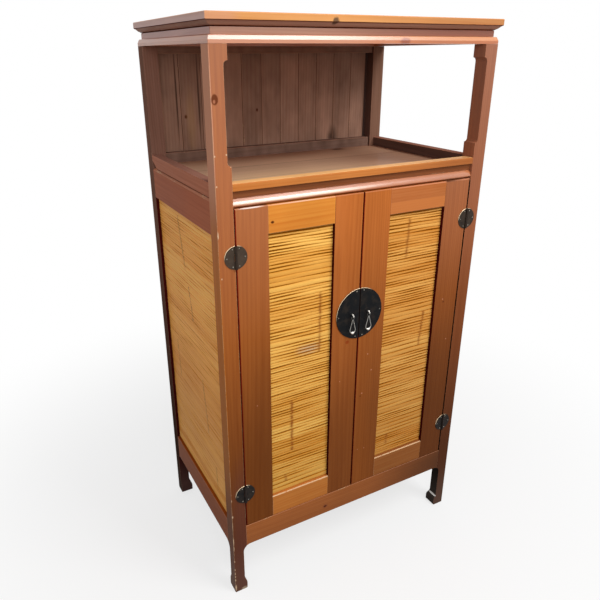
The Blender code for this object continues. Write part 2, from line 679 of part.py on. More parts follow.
def make_back(shop):
    """Upright back boards of the bay, with a seam between boards, and the plain panel below them."""
    half = INNER_X - SEAT_GAP
    count = max(1, round(2 * INNER_X / BACK_BOARD_WIDTH))
    front = [(half, BACK_FACE_Y)]
    for seam in range(count - 1, 0, -1):
        x = -half + 2 * half * seam / count
        front += [(x + BACK_SEAM_WIDTH / 2, BACK_FACE_Y), (x, BACK_FACE_Y + BACK_SEAM_DEPTH),
                  (x - BACK_SEAM_WIDTH / 2, BACK_FACE_Y)]
    plan = front + [(-half, BACK_FACE_Y), (-half, BACK_Y), (half, BACK_Y)]
    shop.part("back_boards", prism(plan, BACK_SPLIT + SEAT_GAP, BAY_TOP - SEAT_GAP, "Z"), "back_wood")
    panel = boxes([((-half, BACK_FACE_Y, FLOOR_TO_RAILS + SPANDREL_RADIUS), (half, BACK_Y, BACK_SPLIT))])
    shop.part("lower_back_panel", panel, "back_wood")


def mitred_ring(shop, suffix, section, inset, finish):
    """Four mitred rails round the frame, from a section in (distance from the outer face, height)."""
    half_x, half_y = HALF_WIDTH - inset, FRAME_DEPTH / 2 - inset
    middle_y = (FRONT_Y + BACK_Y) / 2
    walls = (("front", "X", -1, half_x), ("rear", "X", 1, half_x),
             ("left", "Y", -1, half_y), ("right", "Y", 1, half_y))
    for side, axis, sign, half in walls:
        outer = half_y if axis == "X" else half_x
        shift = middle_y if axis == "X" else 0.0
        outline = [(shift + sign * (outer - depth), height) for depth, height in section]
        middle = 0.0 if axis == "X" else middle_y
        mesh = prism(outline, middle - half + SEAT_GAP, middle + half - SEAT_GAP, axis)
        along, across = (0, 1) if axis == "X" else (1, 0)
        for vert in mesh.vertices:
            depth = outer - abs(vert.co[across] - shift)
            vert.co[along] -= math.copysign(depth, vert.co[along] - middle)
        shop.part(side + suffix, mesh, finish)


def make_top(shop):
    """Top frame, frieze and top panel."""
    head = FRIEZE_FOOT - SEAT_GAP
    section = [(TOP_RAIL_DEPTH, head), (TOP_RAIL_DEPTH, BAY_TOP), (0.0, BAY_TOP)]
    section += arc((TOP_RAIL_ROUND, head - TOP_RAIL_ROUND), TOP_RAIL_ROUND, 180, 90)
    mitred_ring(shop, "_top_rail", section, 0.0, "rail_wood")
    board = rectangle((0.0, FRIEZE_FOOT), (FRIEZE_THICKNESS, TOP_FOOT - SEAT_GAP))
    mitred_ring(shop, "_frieze", board, FRIEZE_INSET, "rail_wood")
    shop.part("top_panel", top_panel_mesh(), "pale_wood")


def top_panel_mesh():
    """The top panel, drawn up from its foot: a moulded underside, a lip and a rounded top edge."""
    reach = TOP_FOOT_INSET + TOP_OVERHANG
    rings = [(TOP_FOOT_INSET, TOP_FOOT)]
    for step in range(ARC_STEPS + 1):
        share = step / ARC_STEPS
        rise = share - math.sin(math.tau * share) / math.tau / 2
        foot = TOP_FOOT + TOP_MOULDING_HEIGHT * (0.1 + 0.9 * rise)
        rings.append((TOP_FOOT_INSET - reach * share, foot))
    head = LIP_FOOT + TOP_LIP_HEIGHT
    for inset, height in arc((TOP_EDGE_ROUND - TOP_OVERHANG, head - TOP_EDGE_ROUND), TOP_EDGE_ROUND, 180, 90):
        rings.append((inset, height))
    bm = bmesh.new()
    bmesh.ops.create_grid(bm, x_segments=1, y_segments=1, size=1.0)
    face = bm.faces[:][0]
    middle_y = (FRONT_Y + BACK_Y) / 2
    for index, (inset, height) in enumerate(rings):
        if index:
            grown_up = bmesh.ops.extrude_face_region(bm, geom=[face])["geom"]
            next_face = [item for item in grown_up if isinstance(item, bmesh.types.BMFace)][0]
            if index > 1:
                bm.faces.remove(face)
            face = next_face
        for vert in face.verts:
            vert.co.x = math.copysign(HALF_WIDTH - inset, vert.co.x)
            side = vert.co.y if index == 0 else vert.co.y - middle_y
            vert.co.y = middle_y + math.copysign(FRAME_DEPTH / 2 - inset, side)
            vert.co.z = height
    return mesh_of(bm)


def slat_row(face, foot, head, low, high, place):
    """A row of slats from foot to head, lying from low to high, drawn out to their root in the backing.

    The place function turns (position along the slats, depth behind the frame's face, height) into a point.
    """
    count = max(1, round((head - foot) / SLAT_PITCH))
    pitch = (head - foot) / count
    valley = face + SLAT_HEIGHT - SLAT_ROOT
    rows = []
    for slat in range(count):
        edge = foot + pitch * slat
        rows += [(valley, edge), (face, edge + SLAT_CHAMFER), (face, edge + pitch - SLAT_CHAMFER)]
    rows.append((valley, head))
    bm = bmesh.new()
    bmesh.ops.create_grid(bm, x_segments=1, y_segments=len(rows) - 1, size=1.0)
    grown_out = bmesh.ops.extrude_face_region(bm, geom=bm.faces[:])["geom"]
    roots = {item for item in grown_out if isinstance(item, bmesh.types.BMVert)}
    for vert in bm.verts:
        depth, height = rows[round((vert.co.y + 1) / 2 * (len(rows) - 1))]
        if vert in roots:
            depth = face + SLAT_HEIGHT + SLAT_ROOT
        vert.co = place(low if vert.co.x < 0 else high, depth, height)
    return mesh_of(bm)


def make_side_panels(shop, joinery):
    """Bamboo panels of both sides, and the grooves that hold them in the posts."""
    foot, head = SIDE_PANEL_FOOT + SEAT_GAP, SIDE_PANEL_HEAD - SEAT_GAP
    low, high = FRONT_POST_REAR + SEAT_GAP, REAR_POST_FRONT - SEAT_GAP
    tuck = GROOVE_DEPTH - 2 * SEAT_GAP
    backing_front = SIDE_PANEL_RECESS + SLAT_HEIGHT
    for side, sign in SIDES:
        x_ends = sorted((sign * (HALF_WIDTH - backing_front),
                         sign * (HALF_WIDTH - backing_front - BACKING_THICKNESS)))
        backing = boxes([((x_ends[0], low - tuck, foot - tuck), (x_ends[1], high + tuck, head + tuck))])
        panel = shop.part(side + "_bamboo_panel", backing, "bamboo")
        slats = slat_row(SIDE_PANEL_RECESS, foot, head, low, high,
                         lambda along, depth, height: (sign * (HALF_WIDTH - depth), along, height))
        boolean(panel, shop.cutter(side + "_bamboo_slats", slats), "UNION")
        for row, edge, way in (("front", FRONT_POST_REAR, -1), ("rear", REAR_POST_FRONT, 1)):
            y_ends = sorted((edge - way * CUT_MARGIN, edge + way * GROOVE_DEPTH))
            corners = ((x_ends[0] - SEAT_GAP, y_ends[0], foot - GROOVE_DEPTH),
                       (x_ends[1] + SEAT_GAP, y_ends[1], head + GROOVE_DEPTH))
            joinery.groove(row + "_" + side + "_post", corners)


def make_door(shop, side, sign, pivot):
    """One door: two grooved stiles, two grooved rails with stub tenons, and a bamboo panel."""
    front, rear = FRONT_Y, FRONT_Y + DOOR_THICKNESS
    groove_front = front + DOOR_PANEL_RECESS + SLAT_HEIGHT - SEAT_GAP
    groove_rear = groove_front + BACKING_THICKNESS + 2 * SEAT_GAP
    hinge_edge = INNER_X - DOOR_SIDE_GAP
    meeting_edge = DOOR_CENTRE_GAP / 2
    stiles = (("hinge", hinge_edge, hinge_edge - STILE_WIDTH),
              ("meeting", meeting_edge, meeting_edge + STILE_WIDTH))
    name = side + "_door"
    for kind, outer, inner in stiles:
        way = math.copysign(1.0, outer - inner)
        deep = inner + way * GROOVE_DEPTH
        plan = [(outer, front), (outer, rear), (inner, rear), (inner, groove_rear), (deep, groove_rear),
                (deep, groove_front), (inner, groove_front), (inner, front)]
        plan = [(sign * x, y) for x, y in plan]
        shop.part(name + "_" + kind + "_stile", prism(plan, DOOR_FOOT, DOOR_HEAD, "Z"), "post_wood", pivot)

    x_low, x_high = sorted((sign * stiles[0][2], sign * stiles[1][2]))
    tuck = GROOVE_DEPTH - 2 * SEAT_GAP
    rails = (("top", DOOR_HEAD, DOOR_PANEL_HEAD), ("bottom", DOOR_FOOT, DOOR_PANEL_FOOT))
    for kind, outer, inner in rails:
        way = math.copysign(1.0, outer - inner)
        deep = inner + way * GROOVE_DEPTH
        section = [(front, outer), (front, inner), (groove_front, inner), (groove_front, deep),
                   (groove_rear, deep), (groove_rear, inner), (rear, inner), (rear, outer)]
        rail = shop.part(name + "_" + kind + "_rail",
                         prism(section, x_low + SEAT_GAP, x_high - SEAT_GAP, "X"), "pale_wood", pivot)
        z_ends = sorted((outer - way * TENON_SHOULDER, deep + way * SEAT_GAP))
        tenons = []
        for x, reach in ((x_low, -1), (x_high, 1)):
            x_ends = sorted((x - reach * (SEAT_GAP + UNION_LAP), x + reach * tuck))
            tenons.append(((x_ends[0], groove_front + SEAT_GAP, z_ends[0]),
                           (x_ends[1], groove_rear - SEAT_GAP, z_ends[1])))
        boolean(rail, shop.cutter(rail.name + "_tenons", boxes(tenons), pivot), "UNION")

    foot, head = DOOR_PANEL_FOOT + SEAT_GAP, DOOR_PANEL_HEAD - SEAT_GAP
    backing = boxes([((x_low - tuck, groove_front + SEAT_GAP, foot - tuck),
                      (x_high + tuck, groove_rear - SEAT_GAP, head + tuck))])
    panel = shop.part(name + "_bamboo_panel", backing, "bamboo", pivot)
    slats = slat_row(DOOR_PANEL_RECESS, foot, head, x_low + SEAT_GAP, x_high - SEAT_GAP,
                     lambda along, depth, height: (along, front + depth, height))
    boolean(panel, shop.cutter(name + "_bamboo_slats", slats, pivot), "UNION")


def half_disc(x_axis, z_axis, way, edge, radius):
    """Rim of a half disc on one side of an axis, from its top to its foot."""
    start = math.degrees(math.acos(edge / radius))
    return [(x_axis + way * x, z_axis + z) for x, z in arc((0.0, 0.0), radius, start, -start, DISC_STEPS)]


def nail_heads(x_axis, z_axis, way, ring, turn, face):
    """Three nail heads on one side of an axis, sunk a little into a plate's front face."""
    bm = bmesh.new()
    depth = NAIL_HEAD_HEIGHT + SEAT_GAP
    for angle in (-turn, 0.0, turn):
        x = x_axis + way * ring * math.cos(math.radians(angle))
        z = z_axis + ring * math.sin(math.radians(angle))
        stand = Matrix.Translation((x, face + SEAT_GAP - depth / 2, z)) @ Matrix.Rotation(math.pi / 2, 4, "X")
        bmesh.ops.create_cone(bm, cap_ends=True, segments=NAIL_SEGMENTS, radius1=NAIL_HEAD_RADIUS,
                              radius2=NAIL_TIP_RADIUS, depth=depth, matrix=stand)
    return mesh_of(bm)


def make_hinge(shop, name, side, sign, z_axis, pivot):
    """One round hinge: a post leaf with two knuckles and the pin, and a door leaf with the middle knuckle."""
    x_axis = sign * HINGE_X
    half = HINGE_RADIUS - HINGE_BARREL_SHY
    third = half / 3
    y_ends = (FRONT_Y - SEAT_GAP - HINGE_LEAF_THICKNESS, FRONT_Y - SEAT_GAP)
    clear = HINGE_BARREL_RADIUS + HINGE_KNUCKLE_GAP
    gap = HINGE_KNUCKLE_GAP

    edge = x_axis + sign * HINGE_LEAF_EDGE
    back = x_axis + sign * clear
    outline = half_disc(x_axis, z_axis, sign, HINGE_LEAF_EDGE, HINGE_RADIUS)
    outline += [(edge, z_axis - third - gap), (back, z_axis - third - gap),
                (back, z_axis + third + gap), (edge, z_axis + third + gap)]
    post_leaf = shop.part(name + "_post_leaf", prism(outline, *y_ends, "Y"), "dark_iron")
    profile = [(0.0, half), (HINGE_BARREL_RADIUS, half), (HINGE_BARREL_RADIUS, third + gap),
               (HINGE_PIN_RADIUS, third + gap), (HINGE_PIN_RADIUS, -third - gap),
               (HINGE_BARREL_RADIUS, -third - gap), (HINGE_BARREL_RADIUS, -half), (0.0, -half)]
    barrel = shop.turned(name + "_barrel", profile, False, (x_axis, HINGE_Y, z_axis))
    boolean(post_leaf, barrel, "UNION")
    nails = nail_heads(x_axis, z_axis, sign, HINGE_NAIL_RING, HINGE_NAIL_TURN, y_ends[0])
    boolean(post_leaf, shop.cutter(name + "_post_nails", nails), "UNION")

    edge = x_axis - sign * HINGE_LEAF_EDGE
    back = x_axis - sign * clear
    outline = half_disc(x_axis, z_axis, -sign, clear, HINGE_RADIUS)
    outline += [(back, z_axis - third), (edge, z_axis - third),
                (edge, z_axis + third), (back, z_axis + third)]
    door_leaf = shop.part(name + "_door_leaf", prism(outline, *y_ends, "Y"), "dark_iron", pivot)
    bore = HINGE_PIN_RADIUS + HINGE_PIN_PLAY
    ring = [(HINGE_BARREL_RADIUS, third), (HINGE_BARREL_RADIUS, -third), (bore, -third), (bore, third)]
    knuckle = shop.turned(name + "_knuckle", ring, True, (x_axis, HINGE_Y, z_axis), pivot)
    boolean(door_leaf, knuckle, "UNION")
    nails = nail_heads(x_axis, z_axis, -sign, HINGE_NAIL_RING, HINGE_NAIL_TURN, y_ends[0])
    boolean(door_leaf, shop.cutter(name + "_door_nails", nails, pivot), "UNION")


def ring_of_wire(x_axis, drop):
    """A closed round wire in a pull's plane, from (x, drop below the pull's axis, radius) points."""
    places = [(x_axis + x, PULL_AXIS_Y, LOCK_HEIGHT - fall) for x, fall, _ in drop]
    return wire(places, [radius for _, _, radius in drop], True)


def pull_eye():
    """Centre line of the eye that hangs in the staple."""
    line = arc((0.0, PULL_EYE_RADIUS), PULL_EYE_RADIUS, -90, 270, 2 * ARC_STEPS)
    return [(x, fall, PULL_WIRE_RADIUS) for x, fall in line[:-1]]


def pull_drop():
    """Centre line of the teardrop under the eye, which swells into a bulb at its foot."""
    neck = 2 * PULL_EYE_RADIUS + PULL_NECK_RADIUS + PULL_WIRE_RADIUS
    low = PULL_LENGTH - PULL_LOW_RADIUS
    lean = math.degrees(math.asin((PULL_LOW_RADIUS - PULL_NECK_RADIUS) / (low - neck)))
    line = arc((0.0, neck), PULL_NECK_RADIUS, 180 + lean, 360 - lean)
    line += arc((0.0, low), PULL_LOW_RADIUS, -lean, 180 + lean, 4 * ARC_STEPS)
    points = []
    for x, fall in line:
        droop = max(0.0, (fall - low) / PULL_LOW_RADIUS)
        swell = (PULL_BULB_RADIUS - PULL_WIRE_RADIUS) * droop ** 4
        points.append((x, fall, PULL_WIRE_RADIUS + swell))
    return points


def make_lock(shop, side, sign, pivot, pull_pivot):
    """Half of the lock plate, its staple and the pull that hangs from it."""
    edge = DOOR_CENTRE_GAP / 2
    outline = half_disc(0.0, LOCK_HEIGHT, sign, edge, LOCK_RADIUS)
    plate = shop.part(side + "_lock_plate", prism(outline, FRONT_Y - LOCK_FACE, FRONT_Y - SEAT_GAP, "Y"),
                      "dark_iron", pivot)
    nails = nail_heads(0.0, LOCK_HEIGHT, sign, LOCK_NAIL_RING, LOCK_NAIL_TURN, FRONT_Y - LOCK_FACE)
    boolean(plate, shop.cutter(side + "_lock_nails", nails, pivot), "UNION")

    x_axis = sign * STAPLE_SPREAD
    root = FRONT_Y - LOCK_FACE - SEAT_GAP
    bend = FRONT_Y - STAPLE_TIP + STAPLE_WIRE_RADIUS + STAPLE_HALF_GAP
    line = [(root, LOCK_HEIGHT + STAPLE_HALF_GAP)]
    line += arc((bend, LOCK_HEIGHT), STAPLE_HALF_GAP, 90, 270)
    line.append((root, LOCK_HEIGHT - STAPLE_HALF_GAP))
    places = [(x_axis, y, z) for y, z in line]
    staple = wire(places, [STAPLE_WIRE_RADIUS] * len(places), False)
    shop.part(side + "_staple", staple, "pull_metal", pivot)

    pull = shop.part(side + "_pull", ring_of_wire(x_axis, pull_drop()), "pull_metal", pull_pivot)
    eye = shop.cutter(side + "_pull_eye", ring_of_wire(x_axis, pull_eye()), pull_pivot)
    boolean(pull, eye, "UNION")


def main():
    """Build the cabinet."""
    clear_scene()
    shop = Workshop()
    joinery = Joinery(shop)
    posts = make_posts(shop)
    make_front_rails(shop, joinery)
    make_rear_rails(shop, joinery)
    make_side_rails(shop, joinery)
    make_side_panels(shop, joinery)
    joinery.cut_posts(posts)
    make_boards(shop)
    make_back(shop)
    make_top(shop)
    for side, sign in SIDES:
        door_pivot = shop.pivot(side + "_door_axis", (sign * HINGE_X, HINGE_Y, DOOR_FOOT))
        pull_pivot = shop.pivot(side + "_pull_axis", (sign * STAPLE_SPREAD, PULL_AXIS_Y, LOCK_HEIGHT))
        make_door(shop, side, sign, door_pivot)
        hinges = (("upper", DOOR_HEAD - HINGE_FROM_DOOR_END), ("lower", DOOR_FOOT + HINGE_FROM_DOOR_END))
        for level, height in hinges:
            make_hinge(shop, level + "_" + side + "_hinge", side, sign, height, door_pivot)
        make_lock(shop, side, sign, door_pivot, pull_pivot)


main()
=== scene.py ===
"""Looks of a tall bamboo cabinet: varnished frame, split-bamboo panels, iron hinges and lock, metal pulls.

Metres, +Z up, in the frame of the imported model. The front faces -Y.
"""
import json
import logging
import math
import random
from collections.abc import Callable, Iterable, Sequence
from dataclasses import dataclass, replace
from enum import Enum, IntEnum

import bmesh
import bpy
from mathutils import Matrix, Vector


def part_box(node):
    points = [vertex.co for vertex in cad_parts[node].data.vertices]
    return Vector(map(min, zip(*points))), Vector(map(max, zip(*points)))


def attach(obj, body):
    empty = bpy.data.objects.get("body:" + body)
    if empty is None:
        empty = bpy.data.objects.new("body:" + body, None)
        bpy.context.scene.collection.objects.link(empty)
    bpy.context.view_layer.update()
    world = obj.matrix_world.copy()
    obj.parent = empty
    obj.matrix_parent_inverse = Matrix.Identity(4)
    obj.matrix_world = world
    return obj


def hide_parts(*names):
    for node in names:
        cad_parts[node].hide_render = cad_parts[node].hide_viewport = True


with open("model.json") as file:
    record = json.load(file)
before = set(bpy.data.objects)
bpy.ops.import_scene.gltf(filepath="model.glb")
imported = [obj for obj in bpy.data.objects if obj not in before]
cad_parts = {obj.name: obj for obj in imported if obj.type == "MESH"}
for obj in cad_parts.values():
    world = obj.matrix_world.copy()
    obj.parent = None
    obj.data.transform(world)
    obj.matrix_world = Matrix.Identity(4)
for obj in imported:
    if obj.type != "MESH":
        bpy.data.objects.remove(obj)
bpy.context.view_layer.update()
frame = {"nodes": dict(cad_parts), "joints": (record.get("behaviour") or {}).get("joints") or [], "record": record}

BODY_OF = {node: body for body, nodes in frame["record"]["behaviour"]["bodies"].items() for node in nodes}

WELD = 1e-6
FLAT_ANGLE = math.radians(0.5)
SHARP_ANGLE = math.radians(35)
SMOOTH_ANGLE = math.radians(40)
CUT_FACES = "cut"

Colour = tuple[float, float, float, float]
Point = tuple[float, float, float]
Span = tuple[float, float]
Socket = bpy.types.NodeSocket
Value = Socket | float | Sequence[float]

X_AXIS, Y_AXIS, Z_AXIS = range(3)
ORIGIN: Point = (0.0, 0.0, 0.0)
UP: Point = (0.0, 0.0, 1.0)
DOWN: Point = (0.0, 0.0, -1.0)
WALLS: dict[str, Point] = {"front": (0.0, -1.0, 0.0), "rear": (0.0, 1.0, 0.0), "left": (-1.0, 0.0, 0.0),
                           "right": (1.0, 0.0, 0.0)}
FORWARD = WALLS["front"]
UNTINTED: Point = (1.0, 1.0, 1.0)
WHITE: Colour = (1.0, 1.0, 1.0, 1.0)

log = logging.getLogger("cabinet")


def srgb(red: int, green: int, blue: int) -> Colour:
    """Turn a colour as seen on screen into the linear light that a shader takes.

    Args:
        red: Red, 0 to 255.
        green: Green, 0 to 255.
        blue: Blue, 0 to 255.

    Returns:
        Linear red, green and blue, with an alpha of 1.
    """
    shares = [channel / 255 for channel in (red, green, blue)]
    linear = [s / 12.92 if s <= 0.04045 else ((s + 0.055) / 1.055) ** 2.4 for s in shares]
    return (linear[0], linear[1], linear[2], 1.0)


class Side(Enum):
    """Left or right half of the cabinet, as seen from the front."""

    LEFT = -1
    RIGHT = 1

    @property
    def word(self) -> str:
        """The side's word in node names."""
        return self.name.lower()

    @property
    def outward(self) -> Point:
        """The way from the cabinet's middle to this side."""
        return WALLS[self.word]

    @property
    def inward(self) -> Point:
        """The way from this side to the cabinet's middle."""
        return (-float(self.value), 0.0, 0.0)


class Grain(Enum):
    """Axis along which a piece's fibres run."""

    ALONG_X = X_AXIS
    ALONG_Y = Y_AXIS
    ALONG_Z = Z_AXIS

    @property
    def direction(self) -> Vector:
        """Unit vector along the fibres."""
        return Vector([float(axis == self.value) for axis in range(3)])

    def upright(self) -> Matrix:
        """Rotation that stands the fibres up along Z."""
        return self.direction.rotation_difference(Vector(UP)).to_matrix()


@dataclass(frozen=True)
class MarkStyle:
    """How a mark in the wood looks, from its heart to its rim."""

    colour: Colour
    heart: float
    strength: float
    ragged: float = 0.0
    boxy: bool = False


class MarkKind(Enum):
    """Kinds of single marks that the varnished wood shows, some of them painted light and shade."""

    KNOT_RING = MarkStyle(srgb(96, 42, 20), 0.7, 0.85, 0.35)
    KNOT_HEART = MarkStyle(srgb(186, 120, 88), 0.4, 0.8, 0.4)
    DEAD_KNOT = MarkStyle(srgb(74, 54, 40), 0.5, 0.85, 0.8)
    SOFT_KNOT = MarkStyle(srgb(116, 62, 48), 0.1, 0.75, 0.6)
    BROWN_KNOT = MarkStyle(srgb(140, 58, 20), 0.45, 0.85, 0.5)
    PIN_KNOT = MarkStyle(srgb(78, 30, 10), 0.3, 0.95, 0.5)
    NICK = MarkStyle(srgb(228, 196, 160), 0.35, 0.85, 0.5)
    FLECK = MarkStyle(srgb(206, 140, 108), 0.25, 0.85, 0.4)
    # Dark smudge: dirt on the back boards and shelf, but painted shade on the apron's right end and along each iron
    # plate's seam.
    SMUDGE = MarkStyle(srgb(38, 28, 24), 0.1, 0.75, 0.6)
    # Painted shadow: the dark gap seen behind the lock plate, on the meeting stiles.
    SOOT = MarkStyle(srgb(22, 20, 20), 0.9, 0.96, 0.0, True)
    # A paler strip along the foot of the right door's top rail.
    FADED = MarkStyle(srgb(206, 124, 66), 0.96, 0.7, 0.0, True)
    SCUFF = MarkStyle(srgb(198, 176, 150), 0.2, 0.65, 0.9)
    # Painted light: a pool of light over the shelf's front, and a warmer strip of it behind the front rail.
    SUNNED = MarkStyle(srgb(226, 190, 140), 0.0, 0.5, 0.3)
    GLOW = MarkStyle(srgb(240, 180, 100), 0.2, 0.55, 0.2)
    # Painted shade: darkens the right ends of the top, frieze and shelf rail, and the back and right of the shelf.
    DUSK = MarkStyle(srgb(126, 66, 46), 0.2, 0.45, 0.2)
    # Painted highlights: a pale band on the bead and the left door's head, and white glints on the left hinge stile's
    # head and the right hoof.
    GLEAM = MarkStyle(srgb(255, 236, 208), 0.4, 0.6, 0.1)
    GLINT = MarkStyle(srgb(255, 252, 246), 0.6, 0.95, 0.1)
    # Painted reflection: a grey-pink sheen on the top rail's left half, the front-left post's side and the top's left
    # corner.
    HAZE = MarkStyle(srgb(214, 152, 122), 0.5, 0.55, 0.2)
    WARMTH = MarkStyle(srgb(226, 134, 8), 0.5, 0.3, 0.2)
    # Painted highlight: the warm, fading right half of the top rail's highlight.
    AMBER = MarkStyle(srgb(216, 148, 94), 0.5, 0.55, 0.2)
    # Greys the lower half of the bead, left of its middle.
    DULLED = MarkStyle(srgb(144, 126, 110), 0.4, 0.45, 0.2)
    CORNER_SHADE = MarkStyle(srgb(72, 56, 52), 0.8, 0.95, 0.0, True)
    WINE = MarkStyle(srgb(106, 62, 60), 0.4, 0.36, 0.2)
    SHADE = MarkStyle(srgb(84, 46, 34), 0.6, 0.62, 0.0)
    BLEACHED = MarkStyle(srgb(176, 138, 98), 0.2, 0.45, 0.5)


@dataclass(frozen=True)
class Mark:
    """One mark: where it is and its half sizes."""

    kind: MarkKind
    place: Point
    size: Point


HEART_ASIDE = 0.15
HEART_LOW = 0.3
HEART_WIDE = 0.45
HEART_TALL = 0.4
RAGGED_LUMPS = 1.2
RAGGED_DETAIL = 3.0


def knot(place: Point, size: Point) -> tuple[Mark, Mark]:
    """A knot: a dark oval with a paler heart low on its left.

    Args:
        place: Middle of the knot.
        size: Half sizes of the knot.

    Returns:
        The oval and the heart, in the order they are laid on.
    """
    heart = (place[0] - HEART_ASIDE * size[0], place[1], place[2] - HEART_LOW * size[2])
    small = (HEART_WIDE * size[0], size[1], HEART_TALL * size[2])
    return Mark(MarkKind.KNOT_RING, place, size), Mark(MarkKind.KNOT_HEART, heart, small)


@dataclass(frozen=True)
class Blemish:
    """A mark told by its place across and up a front, its half sizes and its depth."""

    kind: MarkKind
    across: float
    height: float
    half: float = 0.0021
    half_height: float | None = None
    deep: float = 0.01

    @property
    def tall(self) -> float:
        """Half the mark's height, the same as its half width unless it says otherwise."""
        return self.half if self.half_height is None else self.half_height

    def on_front(self, depth: float) -> Mark:
        """The mark on a front at a depth."""
        return Mark(self.kind, (self.across, depth, self.height), (self.half, self.deep, self.tall))


# Marks on fronts, by node: kind, place across and up, half width, half height, depth. Knots, flecks and the back
# boards' smudges are the wood's own; the apron's smudge and the highlight, reflection and shade marks are painted
# light and shade.
FRONT_FLAWS_AND_PAINTED_LIGHT = {
    # The apron's broad smudge is painted shade over its right end.
    "front_apron": (Blemish(MarkKind.SMUDGE, 0.42, 0.19, 0.5, 0.2, 0.02),
                    Blemish(MarkKind.SOFT_KNOT, -0.091, 0.189, 0.013, 0.009, 0.012),
                    Blemish(MarkKind.PIN_KNOT, -0.091, 0.189, 0.007, 0.005, 0.012)),
    # The bead's highlight band is painted.
    "front_bead_rail": (Blemish(MarkKind.GLEAM, -0.21, 1.1425, 0.32, 0.0045, 0.02),
                        Blemish(MarkKind.DULLED, -0.24, 1.1265, 0.26, 0.0075, 0.02)),
    # Painted shade at the shelf rail's right end.
    "front_shelf_rail": (Blemish(MarkKind.DUSK, 0.45, 1.187, 0.5, 0.1, 0.05),),
    # Painted reflection and highlight along the top rail.
    "front_top_rail": (Blemish(MarkKind.HAZE, -0.35, 1.47, 0.5, 0.05, 0.02),
                       Blemish(MarkKind.AMBER, 0.25, 1.479, 0.4, 0.008, 0.02),
                       Blemish(MarkKind.BROWN_KNOT, 0.094, 1.4715, 0.020, 0.0095, 0.014)),
    # Painted shade at the frieze's right end.
    "front_frieze": (Blemish(MarkKind.DUSK, 0.42, 1.49, 0.6, 0.1, 0.03),) * 3,
    # Painted shade at the top panel's right end.
    "top_panel": (Blemish(MarkKind.DUSK, 0.45, 1.51, 0.6, 0.1, 0.03),
                  Blemish(MarkKind.DEAD_KNOT, -0.100, 1.508, 0.011, 0.012, 0.012)),
    "back_boards": (Blemish(MarkKind.PIN_KNOT, -0.2729, 1.280, 0.006, 0.008, 0.004),
                    Blemish(MarkKind.PIN_KNOT, -0.0482, 1.289, 0.005, 0.007, 0.004),
                    Blemish(MarkKind.SMUDGE, -0.297, 1.34, 0.0035, 0.22, 0.004),
                    Blemish(MarkKind.SMUDGE, -0.232, 1.34, 0.0035, 0.22, 0.004),
                    Blemish(MarkKind.BLEACHED, -0.258, 1.27, 0.020, 0.12, 0.004),
                    Blemish(MarkKind.CORNER_SHADE, 0.352, 1.30, 0.0120, 0.26, 0.004)),
    "left_door_top_rail": (Blemish(MarkKind.PIN_KNOT, -0.2545, 1.090, 0.006, 0.0045),),
    "left_door_hinge_stile": (Blemish(MarkKind.FLECK, -0.3055, 0.6115),),
    "left_door_meeting_stile": (Blemish(MarkKind.BROWN_KNOT, -0.0342, 0.727, 0.0072),
                                Blemish(MarkKind.FLECK, -0.0543, 0.6103)),
    "right_door_meeting_stile": (Blemish(MarkKind.FLECK, 0.0363, 0.6734, 0.0029),
                                 Blemish(MarkKind.FLECK, 0.0517, 0.6188, 0.0029),
                                 Blemish(MarkKind.FLECK, 0.0233, 0.5500, 0.0028),
                                 Blemish(MarkKind.PIN_KNOT, 0.0178, 0.5420, 0.0030),
                                 Blemish(MarkKind.FLECK, 0.0410, 0.3540),
                                 Blemish(MarkKind.FLECK, 0.0180, 0.3570)),
    "right_door_hinge_stile": (Blemish(MarkKind.PIN_KNOT, 0.2975, 0.7775, 0.0036),
                               Blemish(MarkKind.FLECK, 0.2945, 0.7860, 0.0028),
                               Blemish(MarkKind.FLECK, 0.3238, 0.6507, 0.0026)),
}


def front_marks(node: str) -> tuple[Mark, ...]:
    """The marks on a node's front, in the order they are laid on."""
    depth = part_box(node)[0].y
    return tuple(entry.on_front(depth) for entry in FRONT_FLAWS_AND_PAINTED_LIGHT.get(node, ()))


@dataclass(frozen=True)
class Lumps:
    """A soft noise: how many lumps it has to a metre along each axis, and how it breaks up into finer ones."""

    stretch: Point
    detail: float = 2.0
    roughness: float = 0.5

    @classmethod
    def even(cls, count: float, detail: float = 2.0, roughness: float = 0.5) -> "Lumps":
        """A noise with the same number of lumps to a metre each way."""
        return cls((count, count, count), detail, roughness)


